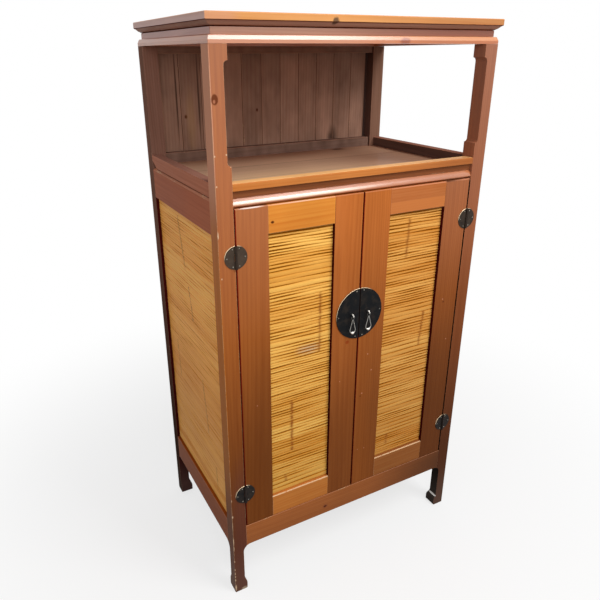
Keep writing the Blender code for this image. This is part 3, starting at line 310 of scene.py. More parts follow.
class NodeTree:
    """A node tree, built one step at a time."""

    def __init__(self, owner: bpy.types.Material | bpy.types.World) -> None:
        """Start an owner's tree afresh.

        Args:
            owner: The material or world that the tree belongs to.
        """
        owner.use_nodes = True
        self.tree = owner.node_tree
        self.tree.nodes.clear()

    def node(self, kind: str, inputs: dict[str | int, Value] | None = None,
             **settings: object) -> bpy.types.Node:
        """Add a node.

        Args:
            kind: Type name of the node.
            inputs: Values or sockets for its inputs, by name or place.
            settings: Properties of the node.

        Returns:
            The new node.
        """
        made = self.tree.nodes.new(kind)
        for key, setting in settings.items():
            setattr(made, key, setting)
        for key, value in (inputs or {}).items():
            self.feed(made.inputs[key], value)
        return made
    def feed(self, socket: Socket, value: Value) -> None:
        """Link a socket into an input, or set the input's own value."""
        if isinstance(value, bpy.types.NodeSocket):
            self.tree.links.new(value, socket)
        else:
            socket.default_value = value

    def math(self, operation: str, first: Value, second: Value = 0.0, clamp: bool = False) -> Socket:
        """Work on two numbers, and keep the answer between 0 and 1 if asked to."""
        made = self.node("ShaderNodeMath", {0: first, 1: second}, operation=operation, use_clamp=clamp)
        return made.outputs[0]

    def blend(self, start: float, *parts: tuple[float, Socket], clamp: bool = True) -> Socket:
        """Add weighted numbers to a start value.

        Args:
            start: Value before anything is added.
            parts: Pairs of weight and number.
            clamp: Whether the answer stays between 0 and 1.

        Returns:
            The sum's socket.
        """
        total: Value = start
        for index, (weight, number) in enumerate(parts):
            made = self.node("ShaderNodeMath", {0: number, 1: weight, 2: total}, operation="MULTIPLY_ADD",
                             use_clamp=clamp and index == len(parts) - 1)
            total = made.outputs[0]
        return total

    def vector(self, operation: str, first: Value, second: Value) -> Socket:
        """Work on two vectors, which gives a number for a length and a vector otherwise."""
        made = self.node("ShaderNodeVectorMath", {0: first, 1: second}, operation=operation)
        return made.outputs["Value" if operation == "LENGTH" else "Vector"]

    def vary(self, number: Socket, spread: float) -> Socket:
        """A factor about 1 that a number between 0 and 1 swings over a spread."""
        return self.blend(1.0 - spread / 2, (spread, number), clamp=False)

    def dim(self, colour: Socket, factor: Socket) -> Socket:
        """Scale a colour by a number."""
        made = self.node("ShaderNodeVectorMath", {0: colour, "Scale": factor}, operation="SCALE")
        return made.outputs["Vector"]

    def noise(self, coords: Socket, lumps: Lumps, as_colour: bool = False) -> Socket:
        """Soft noise.

        Args:
            coords: Where the noise is read.
            lumps: How the noise is lumped.
            as_colour: Whether three numbers come out, and not one.

        Returns:
            The noise's socket.
        """
        place = self.vector("MULTIPLY", coords, lumps.stretch)
        made = self.node("ShaderNodeTexNoise", {"Vector": place, "Scale": 1.0, "Detail": lumps.detail,
                                                "Roughness": lumps.roughness})
        return made.outputs["Color" if as_colour else 0]

    def ease(self, value: Socket, low: float, high: float, start: float = 0.0, end: float = 1.0) -> Socket:
        """Run smoothly from start to end while a number goes from low to high."""
        made = self.node("ShaderNodeMapRange", {"Value": value, "From Min": low, "From Max": high,
                                                "To Min": start, "To Max": end},
                         interpolation_type="SMOOTHSTEP")
        return made.outputs[0]

    def mix(self, factor: Value, first: Value, second: Value) -> Socket:
        """Mix two colours by the second one's share."""
        made = self.node("ShaderNodeMix", {0: factor, 6: first, 7: second}, data_type="RGBA")
        return made.outputs[2]

    def seen(self) -> Socket:
        """One for rays that show the background to the eye, straight or by reflection or through glass."""
        path = self.node("ShaderNodeLightPath").outputs
        mirrored = self.math("MAXIMUM", path["Is Glossy Ray"], path["Is Transmission Ray"])
        return self.math("MAXIMUM", path["Is Camera Ray"], mirrored)


class Shader(NodeTree):
    """A material's node tree, which reads the piece's own coordinates."""

    pith_spread: Span = (1.0, 2.2)
    log_half: float = 2.0

    def __init__(self, name: str) -> None:
        """Start an empty material.

        Args:
            name: Name of the material.
        """
        self.material = bpy.data.materials.new(name)
        super().__init__(self.material)
        self.coords = self.node("ShaderNodeTexCoord").outputs["Object"]

    def along(self, axis: int) -> Socket:
        """The piece's coordinate along an axis."""
        return self.node("ShaderNodeSeparateXYZ", {0: self.coords}).outputs[axis]

    def attribute(self, name: str) -> Socket:
        """A number that the mesh holds at each point."""
        return self.node("ShaderNodeAttribute", attribute_name=name).outputs["Fac"]

    def lay(self, grain: Grain, centre: Vector, draw: random.Random, reach: float, lean: float) -> Socket:
        """Coordinates of the tree that a piece was cut from, with its pith along Z.

        Args:
            grain: Direction of the fibres.
            centre: Middle of the piece.
            draw: Source of the piece's own luck.
            reach: Least distance of the pith from the piece.
            lean: Largest slant of the fibres, in radians.

        Returns:
            The coordinates' socket.
        """
        slant_x, slant_y = (Matrix.Rotation(draw.uniform(-lean, lean), 3, axis) for axis in "XY")
        turn = slant_x @ slant_y @ grain.upright()
        angle = draw.uniform(0, math.tau)
        far = reach * draw.uniform(*self.pith_spread)
        rise = draw.uniform(-self.log_half, self.log_half)
        pith = Vector((far * math.cos(angle), far * math.sin(angle), rise))
        made = self.node("ShaderNodeMapping", {"Vector": self.coords, "Location": pith - turn @ centre,
                                               "Rotation": turn.to_euler()})
        return made.outputs["Vector"]

    def stamp(self, colour: Socket, marks: Iterable[Mark]) -> Socket:
        """Lay marks over a colour.

        Args:
            colour: Colour under the marks.
            marks: The marks, in the order they are laid on.

        Returns:
            The colour with the marks on it.
        """
        for mark in marks:
            style = mark.kind.value
            offset = self.vector("DIVIDE", self.vector("SUBTRACT", self.coords, mark.place), mark.size)
            if style.boxy:
                apart = self.node("ShaderNodeSeparateXYZ", {0: self.vector("ABSOLUTE", offset, ORIGIN)}).outputs
                away = self.math("MAXIMUM", self.math("MAXIMUM", apart[0], apart[1]), apart[2])
            else:
                away = self.vector("LENGTH", offset, ORIGIN)
            if style.ragged:
                rough = self.noise(self.coords, Lumps.even(RAGGED_LUMPS / max(mark.size), RAGGED_DETAIL))
                away = self.blend(-style.ragged / 2, (1.0, away), (style.ragged, rough), clamp=False)
            cover = self.ease(away, style.heart, 1.0, style.strength, 0.0)
            colour = self.mix(cover, colour, style.colour)
        return colour

    def surface(self, links: dict[str, Value], height: Socket, rise: float) -> bpy.types.Material:
        """Close the tree with its surface.

        Args:
            links: Values or sockets for the surface's inputs.
            height: Number that the fine relief follows.
            rise: Depth of the fine relief.

        Returns:
            The finished material.
        """
        relief = self.node("ShaderNodeBump", {"Strength": 1.0, "Distance": rise, "Height": height})
        made = self.node("ShaderNodeBsdfPrincipled", {**links, "Normal": relief.outputs["Normal"]})
        self.node("ShaderNodeOutputMaterial", {"Surface": made.outputs[0]})
        return self.material


def tinted(colour: Colour, tone: Point) -> Colour:
    """A colour times a piece's own tone."""
    return tuple(c * t for c, t in zip(colour, (*tone, 1.0)))


@dataclass(frozen=True)
class Boards:
    """Boards laid edge to edge in one piece, each from a tree of its own."""

    axis: int
    width: float
    start: float
    spread: float
    seam: float = 0.001
    seam_tone: float = 0.3
    jump: Point = (0.3, 0.3, 3.0)

    def shuffle(self, shader: Shader, lay: Socket) -> tuple[Socket, Socket]:
        """Give each board its own tree and tone.

        Args:
            shader: The tree under construction.
            lay: Coordinates of the piece's tree.

        Returns:
            Coordinates that jump from board to board, and each board's tone.
        """
        place = shader.blend(-self.start / self.width, (1.0 / self.width, shader.along(self.axis)), clamp=False)
        luck = shader.node("ShaderNodeTexWhiteNoise", {"W": shader.math("FLOOR", place)}, noise_dimensions="1D")
        jump = shader.vector("MULTIPLY", luck.outputs["Color"], self.jump)
        aside = shader.math("ABSOLUTE", shader.math("SUBTRACT", shader.math("FRACT", place), 0.5))
        seam = shader.ease(aside, 0.5 - 2 * self.seam / self.width, 0.5, 1.0, self.seam_tone)
        light = shader.math("MULTIPLY", shader.vary(luck.outputs["Value"], self.spread), seam)
        return shader.vector("ADD", lay, jump), light


@dataclass(frozen=True)
class WoodFinish:
    """A stained and varnished wood."""

    slot: str
    early: Colour
    late: Colour
    bare: Colour = srgb(226, 188, 146)
    ring_gap: float = 0.0065
    figure: float = 0.16
    streaks: float = 0.7
    fibres: float = 0.35
    clouds: float = 0.30
    blotches: float = 0.0
    late_share: float = 0.25
    foot_tone: float = 0.22
    foot_height: float = 0.05
    full_height: float = 1.35
    # Heights over which the painted grey sheen rises to the piece's full share.
    bloom_foot: float = 0.8
    bloom_head: float = 1.45
    dust: float = 0.22
    dust_height: float = 0.2
    # Share of painted highlight that pales every arris.
    arris_tint: float = 0.35
    roughness: float = 0.42
    cloud_dulling: float = 0.14
    streak_dulling: float = 0.05
    varnish: float = 0.07
    varnish_roughness: float = 0.2
    varnish_index: float = 1.5
    shine: float = 0.008
    pith_reach: float = 0.06
    fibre_lean: float = math.radians(1.4)
    relief: float = 0.00018
    bend: Lumps = Lumps((5.0, 5.0, 0.8))
    bend_reach: Point = (0.022, 0.022, 0.0)
    ring_stretch: Point = (1.0, 1.0, 0.05)
    ring_rise: Span = (0.15, 0.86)
    ring_fall: Span = (0.9, 1.0)
    streak: Lumps = Lumps((95.0, 95.0, 1.6), 3.0, 0.55)
    fibre: Lumps = Lumps((620.0, 620.0, 14.0), 2.0, 0.6)
    cloud: Lumps = Lumps((5.5, 5.5, 3.0), 3.0, 0.55)
    blotch: Lumps = Lumps((26.0, 26.0, 11.0))
    broad_rub: Lumps = Lumps.even(16.0)
    fine_rub: Lumps = Lumps.even(190.0)
    rub_shares: Span = (0.55, 0.45)
    rub_start: float = 0.66
    rub_gain: float = 0.30
    rub_edge: float = 0.09
    rub_strength: float = 0.85
    raised_fibre: float = 0.5
    raised_streak: float = 0.3
    sunk_late: float = -0.3

    def material(self, timber: "Timber", worn_and_highlit: bool = False, where: str = "wood") -> bpy.types.Material:
        """The finish on one piece.

        Args:
            timber: The piece.
            worn_and_highlit: Whether this is for its arrises, where hands have bared the wood and a painted highlight
                pales the edge.
            where: Word for the faces that it goes on.

        Returns:
            The material.
        """
        shader = Shader(f"{timber.label}_{where}")
        draw = random.Random(timber.label)
        lay = shader.lay(timber.grain, timber.centre, draw, self.pith_reach, self.fibre_lean)
        board_tone: Socket | None = None
        if timber.boards:
            lay, board_tone = timber.boards.shuffle(shader, lay)
        late = self.late_wood(shader, lay)
        streak = shader.noise(lay, self.streak)
        fibre = shader.noise(lay, self.fibre)
        cloud = shader.noise(shader.coords, self.cloud)
        share = shader.blend(self.late_share - self.streaks / 2, (self.figure, late), (self.streaks, streak),
                             (self.fibres, fibre))
        colour = shader.mix(share, tinted(self.early, timber.tone), tinted(self.late, timber.tone))
        colour = shader.dim(colour, self.lightness(shader, cloud, board_tone))
        colour = self.aged(shader, colour, timber)
        if worn_and_highlit:
            colour = self.rubbed(shader, colour, timber.wear)
        dull = shader.blend(self.roughness - self.cloud_dulling / 2, (self.cloud_dulling, cloud),
                            (self.streak_dulling, streak))
        grain_height = shader.blend(0.0, (self.raised_fibre, fibre), (self.raised_streak, streak),
                                    (self.sunk_late, late), clamp=False)
        return shader.surface({"Base Color": colour, "Roughness": dull, "Coat Weight": self.varnish,
                               "Coat Roughness": self.varnish_roughness, "Coat IOR": self.varnish_index,
                               "Specular IOR Level": self.shine}, grain_height, self.relief)

    def late_wood(self, shader: Shader, lay: Socket) -> Socket:
        """Rings of late wood round the pith, which waver along the fibres.

        Args:
            shader: The tree under construction.
            lay: Coordinates of the piece's tree.

        Returns:
            One in late wood, nothing in early wood.
        """
        bend = shader.vector("SUBTRACT", shader.noise(lay, self.bend, as_colour=True), (0.5, 0.5, 0.5))
        bent = shader.vector("ADD", lay, shader.vector("MULTIPLY", bend, self.bend_reach))
        rings = shader.node("ShaderNodeTexWave", {
            "Vector": shader.vector("MULTIPLY", bent, self.ring_stretch), "Scale": math.tau / 20 / self.ring_gap,
            "Distortion": 1.6, "Detail": 2.0, "Detail Scale": 0.6, "Detail Roughness": 0.5},
            wave_type="RINGS", rings_direction="Z", wave_profile="SAW").outputs["Fac"]
        return shader.math("MULTIPLY", shader.ease(rings, *self.ring_rise),
                           shader.ease(rings, *self.ring_fall, 1.0, 0.0))

    def lightness(self, shader: Shader, cloud: Socket, board_tone: Socket | None) -> Socket:
        """How light the wood is: darker to the foot, patchy, and board by board.

        Args:
            shader: The tree under construction.
            cloud: Soft clouds in the stain.
            board_tone: Each board's tone, where there are boards.

        Returns:
            The factor's socket.
        """
        falling = shader.ease(shader.along(Z_AXIS), self.foot_height, self.full_height, self.foot_tone, 1.0)
        tone = shader.math("MULTIPLY", falling, shader.vary(cloud, self.clouds))
        if board_tone is not None:
            tone = shader.math("MULTIPLY", tone, board_tone)
        if self.blotches:
            blotch = shader.noise(shader.coords, self.blotch)
            tone = shader.math("MULTIPLY", tone, shader.vary(blotch, self.blotches))
        return tone

    def aged(self, shader: Shader, colour: Socket, timber: "Timber") -> Socket:
        """Lay a painted grey sheen that rises with height, dust at the foot and the piece's own marks over its
        colour.

        Args:
            shader: The tree under construction.
            colour: The clean wood's colour.
            timber: The piece.

        Returns:
            The colour with its sheen, dust and marks.
        """
        height = shader.along(Z_AXIS)
        # Painted reflection: grey sheen, growing with height.
        if timber.bloom:
            grey = shader.node("ShaderNodeMapRange", {"Value": height, "From Min": self.bloom_foot,
                                                      "From Max": self.bloom_head, "To Max": timber.bloom})
            colour = shader.mix(grey.outputs[0], colour, SHEEN_GREY)
        colour = shader.mix(shader.ease(height, 0.0, self.dust_height, self.dust, 0.0), colour, DUST)
        return shader.stamp(colour, timber.marks)

    def rubbed(self, shader: Shader, colour: Socket, wear: float) -> Socket:
        """Lay a painted highlight along an arris, and show bare wood in places along it.

        Args:
            shader: The tree under construction.
            colour: The wood's colour.
            wear: How much bare wood the arris shows.

        Returns:
            The highlit colour, with bare wood in places.
        """
        # Painted highlight: the whole arris is paled toward light pink.
        colour = shader.mix(self.arris_tint, colour, ARRIS_HIGHLIGHT)
        patches = [shader.noise(shader.coords, lumps) for lumps in (self.broad_rub, self.fine_rub)]
        rub = shader.blend(0.0, *zip(self.rub_shares, patches))
        edge = self.rub_start - self.rub_gain * wear
        cover = shader.ease(rub, edge, edge + self.rub_edge, 0.0, self.rub_strength)
        return shader.mix(cover, colour, self.bare)


# Painted reflection: the grey laid over the upper parts of the front posts and hinge stiles.
SHEEN_GREY = (0.25, 0.25, 0.25, 1.0)
DUST = srgb(128, 116, 108)
# Painted highlight colour of arrises.
ARRIS_HIGHLIGHT = srgb(222, 160, 128)
POST_WOOD = WoodFinish("post_wood", srgb(214, 124, 56), srgb(168, 84, 32))
STILE_WOOD = replace(POST_WOOD, foot_height=0.4, full_height=1.2, foot_tone=0.44)
HINGE_STILE_WOOD = replace(STILE_WOOD, foot_tone=0.33)
REAR_POST_WOOD = WoodFinish("post_wood", srgb(166, 110, 84), srgb(124, 74, 52), varnish=0.0, shine=0.0)
RAIL_WOOD = WoodFinish("rail_wood", srgb(210, 126, 72), srgb(164, 84, 44))
POLISHED_WOOD = replace(RAIL_WOOD, varnish=1.0, varnish_index=1.85, varnish_roughness=0.28, clouds=0.4)
BEAD_WOOD = replace(POLISHED_WOOD, varnish_index=2.05)
FRIEZE_WOOD = replace(POLISHED_WOOD, varnish=0.5)
PALE_WOOD = WoodFinish("pale_wood", srgb(246, 164, 70), srgb(214, 118, 38), foot_tone=0.5)
LIP_WOOD = WoodFinish("pale_wood", srgb(234, 158, 80), srgb(204, 118, 48), varnish=0.3, varnish_index=1.6,
                      varnish_roughness=0.3)
SHELF_WOOD = WoodFinish("shelf_wood", srgb(226, 188, 156), srgb(186, 148, 120), foot_tone=0.8, roughness=0.5)
BOTTOM_WOOD = replace(SHELF_WOOD, slot="rail_wood")
BACK_WOOD = WoodFinish("back_wood", srgb(174, 137, 117), srgb(131, 97, 80), foot_tone=0.8, varnish=0.05,
                       roughness=0.55, ring_gap=0.009, blotches=1.0, streaks=0.5)
REAR_RAIL_WOOD = replace(BACK_WOOD, slot="rail_wood")
# Painted shade: dark red-brown for faces in the dark of the frame and for gap, groove and lip lines; it also colours
# the top's dark mitre joints.
DARK_JOINT_AND_SHADE = WoodFinish("post_wood", srgb(84, 22, 18), srgb(56, 12, 12), varnish=0.0, roughness=0.7, shine=0.0,
                        foot_tone=0.7)
# Painted shade: near black for the right leg's inner faces, dark red for chamfers in the door gaps.
BLACK_SHADE = replace(DARK_JOINT_AND_SHADE, early=srgb(42, 34, 30), late=srgb(28, 23, 21))
RED_GAP_SHADE = replace(DARK_JOINT_AND_SHADE, early=srgb(150, 44, 26), late=srgb(112, 28, 16))
BACKING_WOOD = replace(BACK_WOOD, slot="bamboo", early=srgb(142, 86, 16), late=srgb(108, 62, 8), varnish=0.0,
                       shine=0.0)
BOARD_WOOD = replace(BACK_WOOD, slot="bamboo", early=srgb(190, 140, 104), late=srgb(146, 100, 70))
# Painted shade: grey-brown and brown for chosen inner and top faces of the posts and side rails.
GREY_BROWN_SHADE = replace(DARK_JOINT_AND_SHADE, early=srgb(108, 80, 70), late=srgb(76, 54, 46))
BROWN_SHADE = replace(DARK_JOINT_AND_SHADE, early=srgb(170, 122, 104), late=srgb(134, 92, 78))
# Painted light: the lit top face of the front shelf rail.
SUNLIT_WOOD = replace(PALE_WOOD, early=srgb(255, 206, 142), late=srgb(246, 180, 110))


def middle_of(node: str) -> Vector:
    """Middle of a node's box."""
    low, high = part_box(node)
    return (low + high) / 2


def cad_copy(node: str) -> bmesh.types.BMesh:
    """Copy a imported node's mesh, with its triangles joined back into whole faces.

    Args:
        node: Name of the node.

    Returns:
        The copy, in the frame's coordinates.
    """
    bm = bmesh.new()
    bm.from_mesh(frame["nodes"][node].data)
    bmesh.ops.remove_doubles(bm, verts=bm.verts[:], dist=WELD)
    bmesh.ops.dissolve_limit(bm, angle_limit=FLAT_ANGLE, verts=bm.verts[:], edges=bm.edges[:])
    bm.normal_update()
    bm.faces.layers.int.new(CUT_FACES)
    for face in bm.faces:
        face.material_index = 0
    return bm


def slice_along(bm: bmesh.types.BMesh, place: Point, normal: Point = UP, near: float = 0.0) -> None:
    """Cut a mesh's faces along a plane, with points this near to it taken as on it."""
    bmesh.ops.bisect_plane(bm, geom=bm.verts[:] + bm.edges[:] + bm.faces[:], dist=near, plane_co=place,
                           plane_no=normal)


def bevel(bm: bmesh.types.BMesh, edges: Iterable[bmesh.types.BMEdge], width: float, material: int,
          segments: int = 1) -> list[bmesh.types.BMFace]:
    """Bevel some edges of a mesh over a width in a number of flats, and give back the new faces."""
    made = bmesh.ops.bevel(bm, geom=list(edges), offset=width, offset_type="OFFSET", segments=segments,
                           profile=0.5, affect="EDGES", clamp_overlap=True, material=int(material))
    return made["faces"]


def round_arrises(bm: bmesh.types.BMesh, width: float, shortest: float, material: int) -> None:
    """Round the outward edges of a mesh, other than those of its chamfers.

    Args:
        bm: The mesh.
        width: How far the rounding reaches from each edge.
        shortest: Shortest edge that is rounded.
        material: Place of the rounded faces' material.
    """
    cut = bm.faces.layers.int[CUT_FACES]
    edges = [edge for edge in bm.edges if len(edge.link_faces) == 2 and edge.is_convex
             and edge.calc_face_angle(0.0) > SHARP_ANGLE and edge.calc_length() >= shortest
             and not any(face[cut] for face in edge.link_faces)]
    bevel(bm, edges, width, material, segments=2)


def skin(rings: Sequence[Sequence[object]], closed: bool) -> list[list[object]]:
    """Join sections into a skin, capped at both ends unless the run of sections is closed.

    Args:
        rings: Points of each section, in order along the run.
        closed: Whether the last section joins the first.

    Returns:
        The points of each face.
    """
    size = len(rings[0])
    faces = [] if closed else [list(rings[0]), list(reversed(rings[-1]))]
    pairs = list(zip(rings, rings[1:])) + ([(rings[-1], rings[0])] if closed else [])
    for near, far in pairs:
        for step in range(size):
            after = (step + 1) % size
            faces.append([near[step], near[after], far[after], far[step]])
    return faces


def added(name: str, data: bpy.types.ID) -> bpy.types.Object:
    """Stand an object in the scene with its mesh, lamp or camera."""
    thing = bpy.data.objects.new(name, data)
    bpy.context.scene.collection.objects.link(thing)
    return thing


def dressed(name: str, mesh: bpy.types.Mesh, node: str, slot: str,
            materials: Iterable[bpy.types.Material]) -> bpy.types.Object:
    """Make a piece that stands for a node and moves with its body.

    Args:
        name: Name of the piece.
        mesh: Its mesh, in the frame's coordinates.
        node: The node that it stands for.
        slot: The record's material slot, which is not used.
        materials: Its materials, in the order that its faces count them.

    Returns:
        The piece.
    """
    piece = added(name, mesh)
    for material in materials:
        mesh.materials.append(material)
    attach(piece, BODY_OF[node])
    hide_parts(node)
    return piece


def mesh_of(bm: bmesh.types.BMesh, name: str) -> bpy.types.Mesh:
    """Turn a working mesh into a smooth-shaded one that keeps its sharp edges.

    Args:
        bm: The working mesh, which is freed.
        name: Name of the mesh.

    Returns:
        The mesh.
    """
    cut = bm.faces.layers.int.get(CUT_FACES)
    if cut:
        bm.faces.layers.int.remove(cut)
    mesh = bpy.data.meshes.new(name)
    bm.to_mesh(mesh)
    bm.free()
    mesh.shade_smooth()
    mesh.set_sharp_from_angle(angle=SMOOTH_ANGLE)
    return mesh


def hold_numbers(mesh: bpy.types.Mesh, name: str, numbers: Sequence[float]) -> None:
    """Keep numbers at a mesh's first points, and nothing at the rest, for its shader to read."""
    held = mesh.attributes.new(name, "FLOAT", "POINT")
    held.data.foreach_set("value", [*numbers, *[0.0] * (len(mesh.vertices) - len(numbers))])


def flatten_shading(piece: bpy.types.Object) -> None:
    """Keep wide faces flat in the light, with the turn of the surface left to the arrises."""
    evening = piece.modifiers.new("even_faces", "WEIGHTED_NORMAL")
    evening.keep_sharp = True
    evening.weight = 100


@dataclass(frozen=True)
class StainedFaces:
    """Faces that get a finish of their own, which paints the shade falling on them, or on one rail's top the light:
    which way they look, and up to what height.
    """

    ways: tuple[Point, ...]
    finish: WoodFinish = DARK_JOINT_AND_SHADE
    below: float = math.inf
    least: float = 0.8

    def mark(self, bm: bmesh.types.BMesh, material: int) -> None:
        """Give these faces their own material.

        Args:
            bm: The piece's mesh.
            material: Place of their material.
        """
        if math.isfinite(self.below):
            slice_along(bm, (0.0, 0.0, self.below))
        ways = [Vector(way) for way in self.ways]
        for face in bm.faces:
            low_enough = face.calc_center_median().z < self.below
            if low_enough and any(face.normal.dot(way) > self.least for way in ways):
                face.material_index = material

class Coat(IntEnum):
    """Places of a wooden piece's materials, of which the finishes of painted shade and painted light come last."""

    WOOD = 0
    ARRIS = 1
    STAIN = 2
    SECOND_STAIN = 3


@dataclass(frozen=True)
class Chamfer:
    """A flat cut along the edges between two sets of faces, each told by the way it looks."""

    first: Point
    second: Point
    width: float
    material: int
    least: float = 0.85

    def cut(self, bm: bmesh.types.BMesh) -> None:
        """Cut the chamfer into a mesh, and note its faces."""
        edges = [edge for edge in bm.edges
                 if len(edge.link_faces) == 2 and edge.is_convex and self.between(edge)]
        made = bevel(bm, edges, self.width, self.material)
        cut = bm.faces.layers.int[CUT_FACES]
        for face in made:
            face[cut] = 1

    def between(self, edge: bmesh.types.BMEdge) -> bool:
        """Whether an edge lies between faces that look the two ways."""
        near, far = (face.normal for face in edge.link_faces)
        ways = Vector(self.first), Vector(self.second)
        return any(near.dot(one) > self.least and far.dot(two) > self.least for one, two in (ways, ways[::-1]))


@dataclass
class Timber:
    """One wooden piece, cut from a tree along its grain, eased at its arrises and varnished."""

    node: str
    finish: WoodFinish
    grain: Grain
    tone: Point = UNTINTED
    wear: float = 0.2
    bloom: float = 0.0
    arris: float = 0.0009
    shortest: float = 0.010
    boards: Boards | None = None
    stains: tuple[StainedFaces, ...] = ()
    chamfers: tuple[Chamfer, ...] = ()
    marks: tuple[Mark, ...] = ()
    label: str = ""
    shape: Callable[[bmesh.types.BMesh], None] | None = None

    def __post_init__(self) -> None:
        """Name the piece after its node unless it has a label of its own."""
        self.label = self.label or self.node

    @property
    def centre(self) -> Vector:
        """Middle of the piece."""
        return middle_of(self.node)

    def make(self) -> bpy.types.Object:
        """Build the piece over its node.

        Returns:
            The piece.
        """
        bm = cad_copy(self.node)
        if self.shape:
            self.shape(bm)
        for place, stain in enumerate(self.stains):
            stain.mark(bm, Coat.STAIN + place)
        for chamfer in self.chamfers:
            chamfer.cut(bm)
        round_arrises(bm, self.arris, self.shortest, Coat.ARRIS)
        # The arris material carries the painted highlight as well as the wear.
        materials = [self.finish.material(self), self.finish.material(self, True, "arris")]
        plain = replace(self, bloom=0.0, tone=UNTINTED)
        materials += [stain.finish.material(plain, where="stain") for stain in self.stains]
        name = self.node + "_wood"
        piece = dressed(name, mesh_of(bm, name), self.node, self.finish.slot, materials)
        flatten_shading(piece)
        return piece


@dataclass(frozen=True)
class PostLook:
    """How one post looks: its finish, tone and wear, its painted grey sheen, and the finish that paints shade on its
    inner faces.
    """

    finish: WoodFinish
    tone: Point
    wear: float = 0.35
    bloom: float = 0.0
    soot: WoodFinish = DARK_JOINT_AND_SHADE


POST_LOOKS = {
    "front_left_post": PostLook(POST_WOOD, (0.95, 0.98, 1.05), wear=0.7, bloom=0.25),
    # The right post's darker tone is partly painted shade toward the right; its inner leg faces get near-black
    # painted shade.
    "front_right_post": PostLook(POST_WOOD, (0.70, 0.74, 1.25), bloom=0.24, soot=BLACK_SHADE),
    "rear_left_post": PostLook(REAR_POST_WOOD, (0.82, 1.05, 1.35)),
    "rear_right_post": PostLook(REAR_POST_WOOD, (0.80, 1.08, 1.3)),
}


@dataclass
class Posts:
    """The four hoofed posts."""

    arris: float = 0.0011
    shortest: float = 0.0012
    dark_below: float = 1.125
    nick_size: Point = (0.0022, 0.0022, 0.0028)
    scratches: tuple[Point, ...] = (
        (1.0765, 0.0022, 0.0120), (0.336, 0.0016, 0.0050), (0.280, 0.0030, 0.0055), (0.246, 0.0009, 0.0220),
        (0.192, 0.0019, 0.0190), (0.166, 0.0015, 0.0130), (0.118, 0.0022, 0.0040), (0.087, 0.0019, 0.0042),
        (0.072, 0.0017, 0.0060), (0.060, 0.0025, 0.0036), (0.047, 0.0022, 0.0050), (0.018, 0.0034, 0.0150))

    def build(self) -> list[bpy.types.Object]:
        """Build the posts.

        Returns:
            The posts' pieces.
        """
        made = []
        for row, inward_y in (("front", 1.0), ("rear", -1.0)):
            for side in Side:
                node = f"{row}_{side.word}_post"
                look = POST_LOOKS[node]
                # Painted shade: faces toward the middle, below the bay, take a dark finish.
                stains = (StainedFaces((side.inward, (0.0, inward_y, 0.0)), look.soot, self.dark_below),)
                timber = Timber(node, look.finish, Grain.ALONG_Z, look.tone, look.wear, look.bloom, self.arris,
                                self.shortest, stains=stains)
                if node == "front_left_post":
                    timber.marks = self.front_left_marks()
                elif node == "front_right_post":
                    timber.marks = self.front_right_marks()
                elif node == "rear_right_post":
                    # Painted shade: the rear right post's face toward the bay is greyed.
                    timber.stains += (StainedFaces((side.inward,), GREY_BROWN_SHADE),)
                made.append(timber.make())
        return made

    def front_left_marks(self) -> tuple[Mark, ...]:
        """The knot, nicks, tints and painted reflection of the post nearest the viewer.

        Returns:
            The marks.
        """
        low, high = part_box("front_left_post")
        heart = knot((low.x + 0.0085, low.y, 1.361), (0.0085, 0.012, 0.0125))
        # Painted reflection on the upper side face, a warm tint on the side, and a wine tint low on the front.
        sheen_and_tints = (Mark(MarkKind.HAZE, (low.x, (low.y + high.y) / 2, 1.33), (0.003, 0.08, 0.28)),
                Mark(MarkKind.HAZE, (low.x, (low.y + high.y) / 2, 1.33), (0.003, 0.08, 0.22)),
                Mark(MarkKind.WARMTH, (low.x, (low.y + high.y) / 2, 0.73), (0.003, 0.08, 0.49)),
                Mark(MarkKind.WINE, (high.x, low.y, 0.17), (0.06, 0.03, 0.36)))
        nicks = [(low.x + 0.0025, 1.2484), (low.x + 0.029, 1.250), (high.x - 0.002, 1.225),
                 (low.x + 0.0035, 1.1846), (low.x + 0.0050, 0.9739)]
        worn_toe = (Mark(MarkKind.SCUFF, (low.x + 0.028, low.y, 0.004), (0.013, 0.012, 0.008)),)
        scratches = tuple(Mark(MarkKind.NICK, (low.x + 0.4 * half, low.y, z), (half, half, tall))
                          for z, half, tall in self.scratches)
        spots = tuple(Mark(MarkKind.NICK, (x, low.y, z), self.nick_size) for x, z in nicks)
        return sheen_and_tints + heart + spots + worn_toe + scratches

    @staticmethod
    def front_right_marks() -> tuple[Mark, ...]:
        """The painted glint on the shoulder of the right post's hoof."""
        low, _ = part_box("front_right_post")
        return (Mark(MarkKind.GLINT, (low.x + 0.0072, low.y + 0.014, 0.0372), (0.005, 0.024, 0.0040)),)


